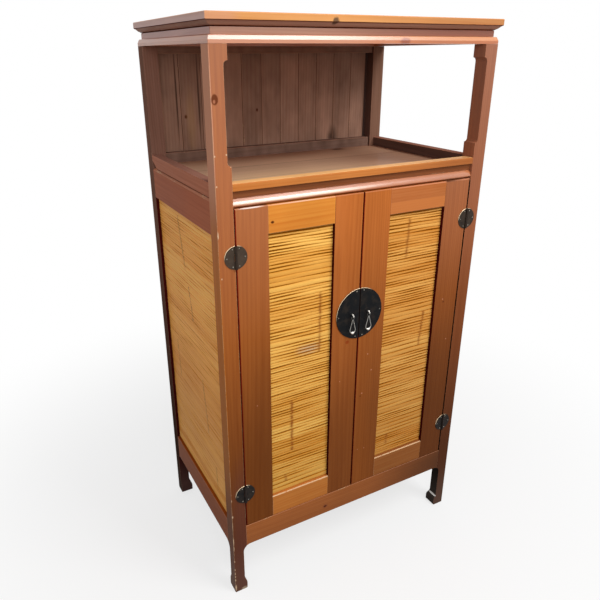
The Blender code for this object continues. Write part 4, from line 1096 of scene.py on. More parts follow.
@dataclass
class Rails:
    """Rails, strips and boards that tie the posts together."""

    side_tone: Point = (0.92, 0.84, 1.12)
    side_shelf_tone: Point = (0.96, 1.06, 1.75)
    side_foot_tone: Point = (1.95, 1.5, 0.6)
    hidden_tone: Point = (0.8, 0.8, 0.8)
    seam_groove: float = 0.0034
    seam_lip: float = 0.0055
    bead_rise: float = 0.43
    bead_shoulder_rise: float = 0.9
    bead_tone: Point = (0.95, 1.0, 1.0)
    bead_band: tuple[float, float] = (-0.0058, 0.0022)

    def build(self) -> list[bpy.types.Object]:
        """Build the rails.

        Returns:
            The rails' pieces.
        """
        timbers = [
            Timber("front_apron", RAIL_WOOD, Grain.ALONG_X, (2.8, 3.0, 2.8), shortest=0.002,
                   marks=front_marks("front_apron")),
            Timber("front_bead_rail", BEAD_WOOD, Grain.ALONG_X, self.bead_tone, shape=self.bead,
                   marks=front_marks("front_bead_rail")),
            Timber("front_waist_strip", RAIL_WOOD, Grain.ALONG_X, tone=(0.5, 0.55, 0.65)),
            # Painted light: the front shelf rail's top face takes a paler, lit finish.
            Timber("front_shelf_rail", PALE_WOOD, Grain.ALONG_X, (0.74, 0.72, 1.15), arris=0.0006, shortest=0.02,
                   stains=(StainedFaces((UP,), SUNLIT_WOOD),), marks=front_marks("front_shelf_rail")),
            Timber("rear_bottom_rail", RAIL_WOOD, Grain.ALONG_X, self.hidden_tone, shortest=0.002),
            Timber("rear_shelf_rail", REAR_RAIL_WOOD, Grain.ALONG_X, (0.6, 0.62, 0.66)),
            Timber("rear_bay_rail", REAR_RAIL_WOOD, Grain.ALONG_X, self.hidden_tone),
        ]
        for side in Side:
            # Painted highlight: a chamfer of arris finish along the top of each upper side rail.
            lip = Chamfer(side.outward, UP, self.seam_lip, Coat.ARRIS)
            # Painted shade: a dark groove chamfer under each side shelf rail, and darker bottom, top and inner faces.
            groove = Chamfer(side.outward, DOWN, self.seam_groove, Coat.STAIN)
            stains = (StainedFaces((DOWN,), DARK_JOINT_AND_SHADE),
                      StainedFaces((UP,), BROWN_SHADE),
                      StainedFaces((side.inward,), GREY_BROWN_SHADE if side is Side.RIGHT else BROWN_SHADE))
            timbers += [
                Timber(side.word + "_bottom_rail", RAIL_WOOD, Grain.ALONG_Y, self.side_foot_tone, shortest=0.002),
                Timber(side.word + "_upper_rail", RAIL_WOOD, Grain.ALONG_Y, self.side_tone, chamfers=(lip,)),
                Timber(side.word + "_shelf_rail", RAIL_WOOD, Grain.ALONG_Y, self.side_shelf_tone, shortest=0.005,
                       stains=stains, chamfers=(groove,)),
            ]
        return [timber.make() for timber in timbers]

    def bead(self, bm: bmesh.types.BMesh) -> None:
        """Flatten the bead's nose to a broad leaning band with a steeper shoulder above it.

        Args:
            bm: The bead rail's mesh.
        """
        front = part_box("front_bead_rail")[0].y
        foot = min(vert.co.z for vert in bm.verts if vert.co.y < front + 0.0002)
        middle = (foot + max(vert.co.z for vert in bm.verts if vert.co.y < front + 0.0002)) / 2
        start, end = (middle + edge for edge in self.bead_band)
        for cut in (start, end):
            slice_along(bm, (0.0, 0.0, cut))
        for vert in bm.verts:
            if vert.co.z > start - WELD:
                inset = self.bead_rise * (min(vert.co.z, end) - start) + 0.0006
                inset += self.bead_shoulder_rise * max(0.0, vert.co.z - end)
                vert.co.y = max(vert.co.y, front + inset)


class TopFace(IntEnum):
    """Places of the top panel's materials; the underside and the side lip carry painted light and reflection."""

    FRONT = 0
    ARRIS = 1
    SIDE = 2
    FIELD = 3
    LINE = 4
    UNDERSIDE = 5
    FRONT_LIP = 6
    SIDE_LIP = 7


@dataclass
class Top:
    """Top rails, frieze and the mitred top panel."""

    rail_slope_height: float = 0.009
    rail_slope: float = 0.43
    panel_arris: float = 0.0008
    frame_width: float = 0.070
    line_width: float = 0.0004
    crisp_angle: float = math.radians(15)
    lip_line: float = 0.0009
    frieze_line: float = 0.0014
    frieze_tone: Point = (0.84, 1.42, 3.1)
    # Painted reflection: the side friezes are greyed against the front.
    side_frieze_tone: Point = (1.12, 1.95, 5.4)
    front_tone: Point = (1.04, 1.25, 1.9)
    # Painted reflection: the side lips are greyed.
    side_tone: Point = (1.0, 1.7, 7.0)
    # Painted light: the lip's underside is lightened and greyed.
    under_tone: Point = (0.8, 1.35, 3.0)

    def build(self) -> list[bpy.types.Object]:
        """Build the top.

        Returns:
            The top's pieces.
        """
        made = []
        for wall in ("front", "rear", "left", "right"):
            grain = Grain.ALONG_X if wall in ("front", "rear") else Grain.ALONG_Y
            rail = Timber(wall + "_top_rail", POLISHED_WOOD, grain, shortest=0.02,
                          marks=front_marks(wall + "_top_rail"))
            rail.shape = self.slope
            made.append(rail.make())
            # Painted shadow under the lip: a dark chamfer along the frieze's top edge and dark top faces.
            line = Chamfer(WALLS[wall], UP, self.frieze_line, Coat.STAIN)
            tone = self.frieze_tone if grain is Grain.ALONG_X else self.side_frieze_tone
            frieze = Timber(wall + "_frieze", FRIEZE_WOOD, grain, tone, arris=0.0006,
                            stains=(StainedFaces((UP,)),), chamfers=(line,))
            frieze.marks = front_marks(wall + "_frieze")
            made.append(frieze.make())
        made.append(self.panel())
        return made

    def slope(self, bm: bmesh.types.BMesh) -> None:
        """Lean the upper half of a rail's outer face back.

        Args:
            bm: The rail's mesh.
        """
        corners = [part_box(wall + "_top_rail") for wall in ("front", "rear", "left", "right")]
        outer_x = max(high.x for _, high in corners)
        front, rear = min(low.y for low, _ in corners), max(high.y for _, high in corners)
        top = corners[0][1].z
        slice_along(bm, (0.0, 0.0, top - self.rail_slope_height))
        for vert in bm.verts:
            inset = self.rail_slope * (vert.co.z - top + self.rail_slope_height)
            if inset > 0:
                vert.co.x = max(inset - outer_x, min(outer_x - inset, vert.co.x))
                vert.co.y = max(front + inset, min(rear - inset, vert.co.y))

    def panel(self) -> bpy.types.Object:
        """Build the top panel as a mitred frame round a field, with fine dark lines where they meet.

        Returns:
            The panel's piece.
        """
        node = "top_panel"
        low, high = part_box(node)
        # Painted reflection at the lip's left corner.
        corner = Mark(MarkKind.HAZE, (low.x, low.y, 1.51), (0.085, 0.02, 0.1))
        lip_marks = (corner, *front_marks(node))
        bm = cad_copy(node)
        field_x = high.x - self.frame_width
        middle_y = (low.y + high.y) / 2
        field_y = (high.y - low.y) / 2 - self.frame_width
        planes = [((x, 0.0, 0.0), (1.0, 0.0, 0.0)) for x in (-field_x, field_x)]
        planes += [((0.0, middle_y + y, 0.0), (0.0, 1.0, 0.0)) for y in (-field_y, field_y)]
        planes += [((corner_x, corner_y, 0.0), (1.0, turn, 0.0)) for corner_x in (low.x, high.x)
                   for corner_y, turn in ((low.y, math.copysign(1.0, corner_x)),
                                          (high.y, -math.copysign(1.0, corner_x)))]
        for place, normal in planes:
            slice_along(bm, place, normal, near=1e-5)
        for face in bm.faces:
            face.material_index = self.member(face.calc_center_median(), low, high)
            if -0.99 < face.normal.z < -0.2:
                face.material_index = TopFace.UNDERSIDE
            elif abs(face.normal.z) < 0.5:
                face.material_index = TopFace.FRONT_LIP if abs(face.normal.y) > 0.5 else TopFace.SIDE_LIP
        for way in WALLS.values():
            # Painted shade: a dark line along the lip's lower edge.
            Chamfer(way, (0.4 * way[0], 0.4 * way[1], -0.92), self.lip_line, TopFace.LINE).cut(bm)
        lines = [edge for edge in bm.edges if len({face.material_index for face in edge.link_faces}) == 2
                 and all(abs(vert.co.z - high.z) < WELD for vert in edge.verts)]
        bevel(bm, lines, self.line_width, TopFace.LINE)
        round_arrises(bm, self.panel_arris, 0.01, TopFace.ARRIS)
        front = Timber(node, LIP_WOOD, Grain.ALONG_X)
        sides = Timber(node, LIP_WOOD, Grain.ALONG_Y, (0.94, 0.93, 0.95), label="top_panel_sides")
        front_lip = Timber(node, LIP_WOOD, Grain.ALONG_X, self.front_tone, marks=lip_marks,
                           label="top_panel_front_lip")
        side_lip = Timber(node, LIP_WOOD, Grain.ALONG_Y, self.side_tone, label="top_panel_side_lip")
        middle = Timber(node, LIP_WOOD, Grain.ALONG_X, (0.9, 0.88, 0.9), label="top_panel_field")
        seams = Timber(node, DARK_JOINT_AND_SHADE, Grain.ALONG_X, label="top_panel_lines")
        under = Timber(node, RAIL_WOOD, Grain.ALONG_X, self.under_tone, marks=lip_marks[2:],
                       label="top_panel_underside")
        materials = [LIP_WOOD.material(front), LIP_WOOD.material(front, True, "arris"), LIP_WOOD.material(sides),
                     LIP_WOOD.material(middle), DARK_JOINT_AND_SHADE.material(seams), RAIL_WOOD.material(under),
                     LIP_WOOD.material(front_lip), LIP_WOOD.material(side_lip)]
        mesh = mesh_of(bm, node + "_wood")
        mesh.set_sharp_from_angle(angle=self.crisp_angle)
        piece = dressed(node + "_wood", mesh, node, LIP_WOOD.slot, materials)
        flatten_shading(piece)
        return piece

    def member(self, place: Vector, low: Vector, high: Vector) -> TopFace:
        """Tell which part of the top panel a place belongs to.

        Args:
            place: The place.
            low: Lower corner of the panel's box.
            high: Upper corner of the panel's box.

        Returns:
            The place of that part's material.
        """
        from_side = min(place.x - low.x, high.x - place.x)
        from_front = min(place.y - low.y, high.y - place.y)
        if min(from_side, from_front) > self.frame_width:
            return TopFace.FIELD
        return TopFace.SIDE if from_side < from_front else TopFace.FRONT


@dataclass
class Bay:
    """The open bay's shelf and back, and the boards inside the cupboard."""

    board_count: int = 11
    board_spread: float = 0.30
    inner_tone: Point = (0.8, 0.75, 0.7)
    plank_count: int = 3
    plank_spread: float = 0.12
    smudge_place: Point = (0.22, 0.250, 1.195)
    smudge_size: Point = (0.026, 0.005, 0.05)
    shelf_smudge: Point = (0.22, 0.215, 1.158)
    # Place and size of the pool of painted light on the shelf's front.
    sunned_place: Point = (-0.20, -0.16, 1.158)
    sunned_size: Point = (0.55, 0.24, 0.02)

    def build(self) -> list[bpy.types.Object]:
        """Build the boards.

        Returns:
            The boards' pieces.
        """
        low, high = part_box("back_boards")
        width = (high.x - low.x) / self.board_count
        upright = Boards(0, width, low.x, self.board_spread)
        smudge = (Mark(MarkKind.SMUDGE, self.smudge_place, self.smudge_size), *front_marks("back_boards"))
        # Painted light on the shelf's front, painted shade at its back and right, and one real smudge.
        shelf_marks = (Mark(MarkKind.SUNNED, self.sunned_place, self.sunned_size),
                       Mark(MarkKind.GLOW, (-0.16, -0.165, 1.158), (0.46, 0.075, 0.02)),
                       Mark(MarkKind.DUSK, (0.0, 0.26, 1.158), (0.7, 0.19, 0.02)),
                       Mark(MarkKind.DUSK, (0.0, 0.28, 1.158), (0.7, 0.14, 0.02)),
                       Mark(MarkKind.DUSK, (0.36, 0.0, 1.158), (0.4, 0.3, 0.02)),
                       Mark(MarkKind.SMUDGE, self.shelf_smudge, (0.035, 0.03, 0.02)))
        shelf_low, shelf_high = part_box("shelf_panel")
        planks = Boards(1, (shelf_high.y - shelf_low.y) / self.plank_count, shelf_low.y,
                        self.plank_spread)
        timbers = [
            Timber("back_boards", BACK_WOOD, Grain.ALONG_Z, arris=0.0005, shortest=0.05, boards=upright,
                   marks=smudge),
            Timber("lower_back_panel", BACK_WOOD, Grain.ALONG_Z),
            Timber("shelf_panel", SHELF_WOOD, Grain.ALONG_X, boards=planks, marks=shelf_marks),
            Timber("bottom_board", BOTTOM_WOOD, Grain.ALONG_X, self.inner_tone, boards=planks),
            Timber("inner_shelf", SHELF_WOOD, Grain.ALONG_X, self.inner_tone, boards=planks),
            Timber("left_shelf_cleat", RAIL_WOOD, Grain.ALONG_Y),
            Timber("right_shelf_cleat", RAIL_WOOD, Grain.ALONG_Y),
        ]
        return [timber.make() for timber in timbers]


@dataclass(frozen=True)
class BambooFinish:
    """Split bamboo, golden on the crown of each slat, with brown painted shade where slats meet."""

    pale: Colour = srgb(255, 206, 112)
    deep: Colour = srgb(224, 154, 64)
    rim: Colour = srgb(190, 116, 12)
    gap: Colour = srgb(150, 90, 18)
    joint: Colour = srgb(150, 84, 32)
    foot_tone: float = 0.76
    full_height: float = 0.95
    roughness: float = 0.42
    shine: float = 0.03
    relief: float = 0.00012

    def material(self, name: str, grain: Grain, tone: Point, marks: Iterable[Mark]) -> bpy.types.Material:
        """The finish of one panel's slats.

        Args:
            name: Name of the material.
            grain: Direction of the slats.
            tone: The panel's own tone.
            marks: Scuffs on the panel, and the painted shadow under a door's top rail.

        Returns:
            The material.
        """
        shader = Shader(name)
        draw = random.Random(name)
        lay = shader.lay(grain, Vector(), draw, 0.1, 0.0)
        streak = shader.noise(lay, Lumps((420.0, 420.0, 7.0), 3.0, 0.6))
        fleck = shader.noise(lay, Lumps((900.0, 900.0, 60.0), 2.0, 0.6))
        cloud = shader.noise(shader.coords, Lumps.even(9.0, 3.0))
        edge = shader.attribute("edge")
        share = shader.blend(-0.35, (0.32, shader.attribute("tone")), (0.75, streak), (0.3, fleck), (0.4, cloud))
        colour = shader.mix(share, tinted(self.pale, tone), tinted(self.deep, tone))
        height = shader.node("ShaderNodeSeparateXYZ", {0: shader.coords}).outputs[2]
        colour = shader.dim(colour, shader.ease(height, 0.25, self.full_height, self.foot_tone, 1.0))
        colour = shader.stamp(colour, marks)
        # Painted shade in the seams: the edge number is nearness to a slat's edge, deeper where its seam stands open.
        colour = shader.mix(shader.ease(edge, 0.0, 0.4, 0.0, 0.85), colour, tinted(self.rim, tone))
        colour = shader.mix(shader.ease(edge, 0.4, 1.0, 0.0, 0.9), colour, self.gap)
        ragged = shader.blend(-0.25, (1.25, shader.attribute("joint")), (0.5, fleck))
        colour = shader.mix(shader.math("MULTIPLY", ragged, 0.9), colour, self.joint)
        dull = shader.blend(self.roughness - 0.1, (0.2, streak))
        fuzz = shader.blend(0.0, (0.6, streak), (0.4, fleck), clamp=False)
        gloss = shader.ease(edge, 0.0, 0.4, self.shine, 0.0)
        return shader.surface({"Base Color": colour, "Roughness": dull, "Specular IOR Level": gloss},
                              fuzz, self.relief)


BAMBOO = BambooFinish()


@dataclass(frozen=True)
class NodeLine:
    """A run of culm nodes: where it crosses the slats at its foot and head, and how dark it is."""

    at_foot: float
    at_head: float
    foot: float
    head: float
    depth: float = 0.8

    def crossing(self, height: float) -> float | None:
        """Place of the nodes along a slat at a height, or None past the run's ends."""
        if not self.foot <= height <= self.head:
            return None
        share = (height - self.foot) / (self.head - self.foot)
        return self.at_foot + (self.at_head - self.at_foot) * share


@dataclass(frozen=True)
class Seam:
    """The crack between two slats: its height, its widest gap, and how it opens and closes along its length."""

    height: float
    gap: float
    wave: float
    phase: float

    def opening(self, along: float) -> float:
        """Share of the widest gap that stands open at a place along the slats."""
        return 0.5 + 0.5 * math.sin(math.tau * (along / self.wave + self.phase))


@dataclass(frozen=True)
class Slat:
    """One split of bamboo: the seams at its foot and head, its crown and its tone."""

    foot: Seam
    head: Seam
    crown: float
    tone: float


@dataclass
class BambooPanel:
    """A panel of split-bamboo slats on a thin backing board."""

    node: str
    grain: Grain
    outward: Point
    low: float
    high: float
    foot: float
    head: float
    tone: Point = (1.0, 1.0, 1.0)
    node_lines: tuple[NodeLine, ...] = ()
    marks: tuple[Mark, ...] = ()
    clearance: float = 0.0003
    slat_height: float = 0.003
    tightness: float = 1.0
    shut_shade: float = 0.3
    open_shade: float = 1.0
    fine_width: tuple[float, float] = (0.0066, 0.0100)
    broad_width: tuple[float, float] = (0.011, 0.016)
    fine_gap: tuple[float, float] = (0.0012, 0.0022)
    broad_gap: tuple[float, float] = (0.0006, 0.0017)
    fine_share: float = 0.78
    edge_round: float = 0.0020
    wander: float = 0.0009
    column_step: float = 0.008
    node_rise: float = 0.0005
    node_reach: float = 0.0040
    node_stray: float = 0.0012
    node_depths: Span = (0.5, 1.0)
    crown_shares: Span = (0.78, 1.0)
    seam_waves: Span = (0.16, 0.5)
    end_gap: float = 0.0004
    backing_gap: float = 0.00005
    backing_ease: float = 0.0006

    def __post_init__(self) -> None:
        """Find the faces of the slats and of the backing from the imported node."""
        low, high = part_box(self.node)
        out = Vector(self.outward)
        self.crown_level = max(low.dot(out), high.dot(out))
        self.root_level = self.crown_level - self.slat_height
        self.luck = random.Random(self.node)

    def lay_out(self) -> list[Slat]:
        """Split the panel's height into slats, a few from each culm.

        Returns:
            The slats, from the foot up.
        """
        widths: list[tuple[float, float, float]] = []
        total = 0.0
        span = self.head - self.foot
        while total < span:
            fine = self.luck.random() < self.fine_share
            tone = self.luck.uniform(-1.0, 1.0)
            for _ in range(self.luck.randint(3, 7) if fine else self.luck.randint(1, 3)):
                width = self.luck.uniform(*(self.fine_width if fine else self.broad_width))
                gap = self.luck.uniform(*(self.fine_gap if fine else self.broad_gap))
                widths.append((width, gap, tone + self.luck.uniform(-0.6, 0.6)))
                total += width
        scale = span / total
        height = self.foot
        seams = [self.seam(height, self.end_gap)]
        for width, gap, _ in widths:
            height += width * scale
            seams.append(self.seam(height, gap))
        slats = []
        for (_, _, tone), foot, head in zip(widths, seams, seams[1:]):
            crown = self.slat_height * self.luck.uniform(*self.crown_shares)
            slats.append(Slat(foot, head, crown, max(-1.0, min(1.0, tone))))
        return slats

    def seam(self, height: float, gap: float) -> Seam:
        """A seam with its own luck in how it opens."""
        return Seam(height, gap, self.luck.uniform(*self.seam_waves), self.luck.random())

    def drift(self, along: float, height: float) -> float:
        """How far a seam between slats strays up or down.

        Args:
            along: Place along the slats.
            height: The seam's height.

        Returns:
            The stray, nothing at the panel's foot and head.
        """
        margin = min(height - self.foot, self.head - height)
        hold = max(0.0, min(1.0, margin / 0.01))
        turn = (along - self.low) / (self.high - self.low)
        slow = math.sin(math.tau * (0.45 * turn + 3.1 * height))
        quick = math.sin(math.tau * (1.7 * turn + 11.0 * height))
        return hold * self.wander * (0.75 * slow + 0.25 * quick)

    def columns(self, crossings: Iterable[tuple[float, float]]) -> list[float]:
        """Places along a slat where its section is drawn, closer together at its nodes.

        Args:
            crossings: Places of the nodes, with how dark they are.

        Returns:
            The places, from low to high.
        """
        low, high = self.low + self.clearance, self.high - self.clearance
        count = max(2, round((high - low) / self.column_step))
        places = {low + (high - low) * step / count for step in range(count + 1)}
        for crossing, _ in crossings:
            near = [crossing + self.node_reach * share for share in (-2.0, -1.0, -0.4, 0.0, 0.4, 1.0, 2.0)]
            places = {place for place in places if abs(place - crossing) > 2.4 * self.node_reach
                      or place in (low, high)}
            places.update(place for place in near if low < place < high)
        return sorted(places)

    def crossings(self, slat: Slat) -> list[tuple[float, float]]:
        """Nodes of one slat.

        Args:
            slat: The slat.

        Returns:
            Places along the slat, with how dark each node is.
        """
        middle = (slat.foot.height + slat.head.height) / 2
        found = []
        for line in self.node_lines:
            crossing = line.crossing(middle)
            if crossing is not None:
                stray = self.luck.uniform(-self.node_stray, self.node_stray)
                found.append((crossing + stray, line.depth * self.luck.uniform(*self.node_depths)))
        return found

    def section(self, slat: Slat, along: float, swell: float) -> list[tuple[float, float, float]]:
        """Outline of a slat at one place.

        Args:
            slat: The slat.
            along: Place along the slat.
            swell: Share of a node's swelling there.

        Returns:
            Height, stand above the backing, and nearness to the slat's edge scaled by the painted shade of its seam,
            for each point of the outline.
        """
        low_open, high_open = (seam.opening(along) ** self.tightness for seam in (slat.foot, slat.head))
        keep = 1 - 0.6 * swell
        foot = slat.foot.height + self.drift(along, slat.foot.height) + slat.foot.gap * low_open * keep / 2
        head = slat.head.height + self.drift(along, slat.head.height) - slat.head.gap * high_open * keep / 2
        crown = min(self.slat_height, slat.crown + self.node_rise * swell)
        ease = min(self.edge_round, 0.3 * (head - foot))
        side = [UP, (0.0, 0.5, 0.95), (0.25 * ease, 0.80, 0.5), (ease, 0.96, 0.1)]
        reach = self.open_shade - self.shut_shade
        low_dark, high_dark = (self.shut_shade + reach * share for share in (low_open, high_open))
        outline = [(foot + inset, crown * share, edge * low_dark) for inset, share, edge in side]
        outline.append(((foot + head) / 2, crown, 0.0))
        outline += [(head - inset, crown * share, edge * high_dark) for inset, share, edge in reversed(side)]
        return outline

    def build(self) -> list[bpy.types.Object]:
        """Build the panel.

        Returns:
            The panel's piece.
        """
        verts: list[Vector] = []
        faces: list[list[int]] = []
        values: dict[str, list[float]] = {"tone": [], "edge": [], "joint": []}
        run, out = self.grain.direction, Vector(self.outward)
        for slat in self.lay_out():
            crossings = self.crossings(slat)
            rings = []
            for along in self.columns(crossings):
                swell = joint = 0.0
                for crossing, depth in crossings:
                    near = math.exp(-((along - crossing) / self.node_reach) ** 2)
                    swell = max(swell, near)
                    joint = max(joint, near * depth)
                ring = []
                for height, stand, edge in self.section(slat, along, swell):
                    ring.append(len(verts))
                    verts.append(run * along + out * (self.root_level + stand) + Vector((0.0, 0.0, height)))
                    values["tone"].append(slat.tone)
                    values["edge"].append(edge)
                    values["joint"].append(joint)
                rings.append(ring)
            faces += skin(rings, False)
        mesh = bpy.data.meshes.new(self.node + "_slats")
        mesh.from_pydata(verts, [], faces)
        bm = bmesh.new()
        bm.from_mesh(mesh)
        bmesh.ops.recalc_face_normals(bm, faces=bm.faces[:])
        slat_faces = len(bm.faces)
        self.add_backing(bm)
        bm.faces.ensure_lookup_table()
        bm.normal_update()
        for index, face in enumerate(bm.faces):
            behind_slats = face.normal.dot(out) > 0.5
            face.material_index = 0 if index < slat_faces else 1 if behind_slats else 2
            face.smooth = True
        bm.to_mesh(mesh)
        bm.free()
        mesh.set_sharp_from_angle(angle=SMOOTH_ANGLE)
        for name, numbers in values.items():
            hold_numbers(mesh, name, numbers)
        backing = Timber(self.node, BACKING_WOOD, self.grain)
        materials = [BAMBOO.material(self.node + "_bamboo", self.grain, self.tone, self.marks),
                     BACKING_WOOD.material(backing, where="backing"),
                     BOARD_WOOD.material(replace(backing, finish=BOARD_WOOD), where="board")]
        return [dressed(self.node + "_slats", mesh, self.node, "bamboo", materials)]

    def add_backing(self, bm: bmesh.types.BMesh) -> None:
        """Add the backing board behind the slats, with its edges eased.

        Args:
            bm: The panel's mesh.
        """
        low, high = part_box(self.node)
        out = Vector(self.outward)
        front = self.root_level - self.backing_gap
        rear = min(low.dot(out), high.dot(out))
        size = high - low
        for axis in range(3):
            if abs(out[axis]) > 0.5:
                size[axis] = front - rear
        centre = (low + high) / 2
        centre += out * ((front + rear) / 2 - centre.dot(out))
        stand = Matrix.Translation(centre) @ Matrix.Diagonal((*size, 1.0))
        made = bmesh.ops.create_cube(bm, size=1.0, matrix=stand)
        edges = {edge for vert in made["verts"] for edge in vert.link_edges}
        bevel(bm, edges, self.backing_ease, 0)


@dataclass
class SideWall:
    """The bamboo panel of one side."""

    side: Side

    def build(self) -> list[bpy.types.Object]:
        """Build the panel.

        Returns:
            The panel's piece.
        """
        word = self.side.word
        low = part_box(f"front_{word}_post")[1].y
        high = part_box(f"rear_{word}_post")[0].y
        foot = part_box(word + "_bottom_rail")[1].z
        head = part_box(word + "_upper_rail")[0].z
        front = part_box(f"front_{word}_post")[0].y
        lines = (NodeLine(front + 0.275, front + 0.308, 0.912, 1.054, 0.6),
                 NodeLine(front + 0.237, front + 0.256, 0.767, 0.863, 0.6),
                 NodeLine(front + 0.167, front + 0.193, 0.441, 0.606, 0.6),
                 NodeLine(front + 0.390, front + 0.400, 0.520, 0.640, 0.5),
                 NodeLine(front + 0.120, front + 0.126, 0.280, 0.360, 0.5))
        panel = BambooPanel(word + "_bamboo_panel", Grain.ALONG_Y, self.side.outward, low, high,
                            foot, head, (1.15, 0.94, 0.92), lines, column_step=0.014, fine_share=0.5,
                            broad_width=(0.010, 0.018), fine_gap=(0.0004, 0.0011), broad_gap=(0.0002, 0.0009),
                            tightness=2.0, shut_shade=0.06, open_shade=0.42)
        return panel.build()


@dataclass(frozen=True)
class IronFinish:
    """Blackened iron, bared to brassy metal along its rims, with a painted highlight where the rim is brightest at
    its upper left.
    """

    black: Colour = srgb(17, 18, 20)
    brown: Colour = srgb(84, 70, 58)
    rubbed: Colour = srgb(244, 214, 176)
    roughness: float = 0.5
    shine: float = 0.08

    def material(self, name: str, greyness: float, rim: bool, marks: Iterable[Mark] = ()) -> bpy.types.Material:
        """The finish of one plate.

        Args:
            name: Name of the material.
            greyness: How far the black is lifted toward grey-brown; on the upper hinges this is painted reflection.
            rim: Whether this is for the plate's bared, highlit rim.
            marks: Marks on the plate.

        Returns:
            The material.
        """
        shader = Shader(name)
        blot = shader.noise(shader.coords, Lumps.even(55.0, 4.0, 0.6))
        grit = shader.noise(shader.coords, Lumps.even(900.0, 2.0))
        share = shader.blend(greyness - 0.45, (0.9, blot))
        colour = shader.mix(share, self.black, self.brown)
        colour = shader.stamp(colour, marks)
        metal: Value = 0.0
        if rim:
            # Bared metal along the rim, with a painted highlight strongest at the upper left.
            rub = shader.blend(-0.2, (1.0, shader.attribute("rub")), (0.4, blot))
            cover = shader.ease(rub, 0.35, 0.7)
            colour = shader.mix(cover, colour, self.rubbed)
            metal = shader.math("MULTIPLY", cover, 0.6)
        dull = shader.blend(self.roughness - 0.12, (0.24, blot))
        return shader.surface({"Base Color": colour, "Roughness": dull, "Metallic": metal,
                               "Specular IOR Level": self.shine}, grit, 0.00005)


@dataclass(frozen=True)
class WhiteMetalFinish:
    """White metal, bright where hands keep it polished and where a highlight is painted, and dark where tarnish sits
    and where shade is painted.
    """

    bright: Colour = srgb(240, 236, 228)
    tarnish: Colour = srgb(176, 168, 156)
    dark: Colour = srgb(40, 39, 38)
    roughness: float = 0.24
    handled: bool = True

    def material(self, name: str) -> bpy.types.Material:
        """The finish of one piece.

        Args:
            name: Name of the material.

        Returns:
            The material.
        """
        shader = Shader(name)
        blot = shader.noise(shader.coords, Lumps.even(240.0, 3.0, 0.6))
        scratch = shader.noise(shader.coords, Lumps((2600.0, 2600.0, 700.0), 2.0))
        colour = shader.mix(shader.ease(blot, 0.48, 0.72), self.bright, self.tarnish)
        if self.handled:
            # The polish number: real polishing and tarnish, with a painted highlight on the bulb and staple and
            # painted shadow on the eye.
            colour = shader.mix(shader.attribute("polish"), self.dark, colour)
        dull = shader.blend(self.roughness - 0.1, (0.25, blot), (0.05, scratch))
        return shader.surface({"Base Color": colour, "Roughness": dull, "Metallic": 1.0}, scratch, 0.00002)


IRON = IronFinish()
WHITE_METAL = WhiteMetalFinish()
NAIL_METAL = WhiteMetalFinish(srgb(156, 150, 138), srgb(90, 84, 76), roughness=0.34, handled=False)


@dataclass
class Plate:
    """A flat iron plate with a bared rim, painted highlight at its upper left, and three nails."""

    node: str
    centre: tuple[float, float]
    way: int
    nail_ring: float
    nail_turn: float
    greyness: float
    radius: float
    rim: float = 0.0007
    nail_radius: float = 0.0018
    nail_height: float = 0.0012
    seam_shade: float = 0.0045

    def build(self) -> list[bpy.types.Object]:
        """Build the plate.

        Returns:
            The plate's piece.
        """
        bm = cad_copy(self.node)
        face = self.plate_face(bm)
        self.chamfer_rim(bm, face)
        self.add_nails(bm, face)
        mesh = mesh_of(bm, self.node + "_iron")
        self.rub(mesh)
        # Painted shade along the seam down the middle of the plate.
        seam = (Mark(MarkKind.SMUDGE, (self.centre[0], face, self.centre[1]), (self.seam_shade, 0.02, 0.2)),)
        materials = [IRON.material(self.node + "_iron", self.greyness, False, seam),
                     IRON.material(self.node + "_rim", self.greyness, True),
                     NAIL_METAL.material(self.node + "_nails")]
        piece = dressed(self.node + "_iron", mesh, self.node, "dark_iron", materials)
        flatten_shading(piece)
        return [piece]

    def chamfer_rim(self, bm: bmesh.types.BMesh, face: float) -> None:
        """Cut the plate's round rim at a slant.

        Args:
            bm: The plate's mesh.
            face: Depth of the plate's front.
        """
        def on_rim(vert: bmesh.types.BMVert) -> bool:
            """Whether a point lies on the front edge of the rim."""
            away = math.hypot(vert.co.x - self.centre[0], vert.co.z - self.centre[1])
            return abs(vert.co.y - face) < 1e-5 and abs(away - self.radius) < 2e-4

        edges = [edge for edge in bm.edges if all(on_rim(vert) for vert in edge.verts)
                 and edge.calc_length() < self.radius / 2 and edge.calc_face_angle(0.0) > SHARP_ANGLE]
        bevel(bm, edges, self.rim, 1)

    @staticmethod
    def plate_face(bm: bmesh.types.BMesh) -> float:
        """Depth of the plate's front: the widest face that looks forward."""
        front = max((face for face in bm.faces if face.normal.y < -0.99), key=lambda face: face.calc_area())
        return front.calc_center_median().y

    def add_nails(self, bm: bmesh.types.BMesh, face: float) -> None:
        """Set three domed nails in the plate.

        Args:
            bm: The plate's mesh.
            face: Depth of the plate's front.
        """
        x_axis, z_axis = self.centre
        for angle in (-self.nail_turn, 0.0, self.nail_turn):
            x = x_axis + self.way * self.nail_ring * math.cos(math.radians(angle))
            z = z_axis + self.nail_ring * math.sin(math.radians(angle))
            stand = Matrix.Translation((x, face, z)) @ Matrix.Diagonal((self.nail_radius, self.nail_height,
                                                                        self.nail_radius, 1.0))
            made = bmesh.ops.create_uvsphere(bm, u_segments=14, v_segments=8, radius=1.0, matrix=stand)
            for dome in {face for vert in made["verts"] for face in vert.link_faces}:
                dome.material_index = 2

    def rub(self, mesh: bpy.types.Mesh) -> None:
        """Mark how far the rim is bared of black, most at its upper left, where the brightness is a painted
        highlight.

        Args:
            mesh: The plate's mesh.
        """
        x_axis, z_axis = self.centre
        lit = Vector((-0.55, 0.83))
        shares = []
        for vert in mesh.vertices:
            away = Vector((vert.co.x - x_axis, vert.co.z - z_axis))
            shares.append(max(0.0, away.normalized().dot(lit)) if away.length > 0 else 0.0)
        hold_numbers(mesh, "rub", shares)


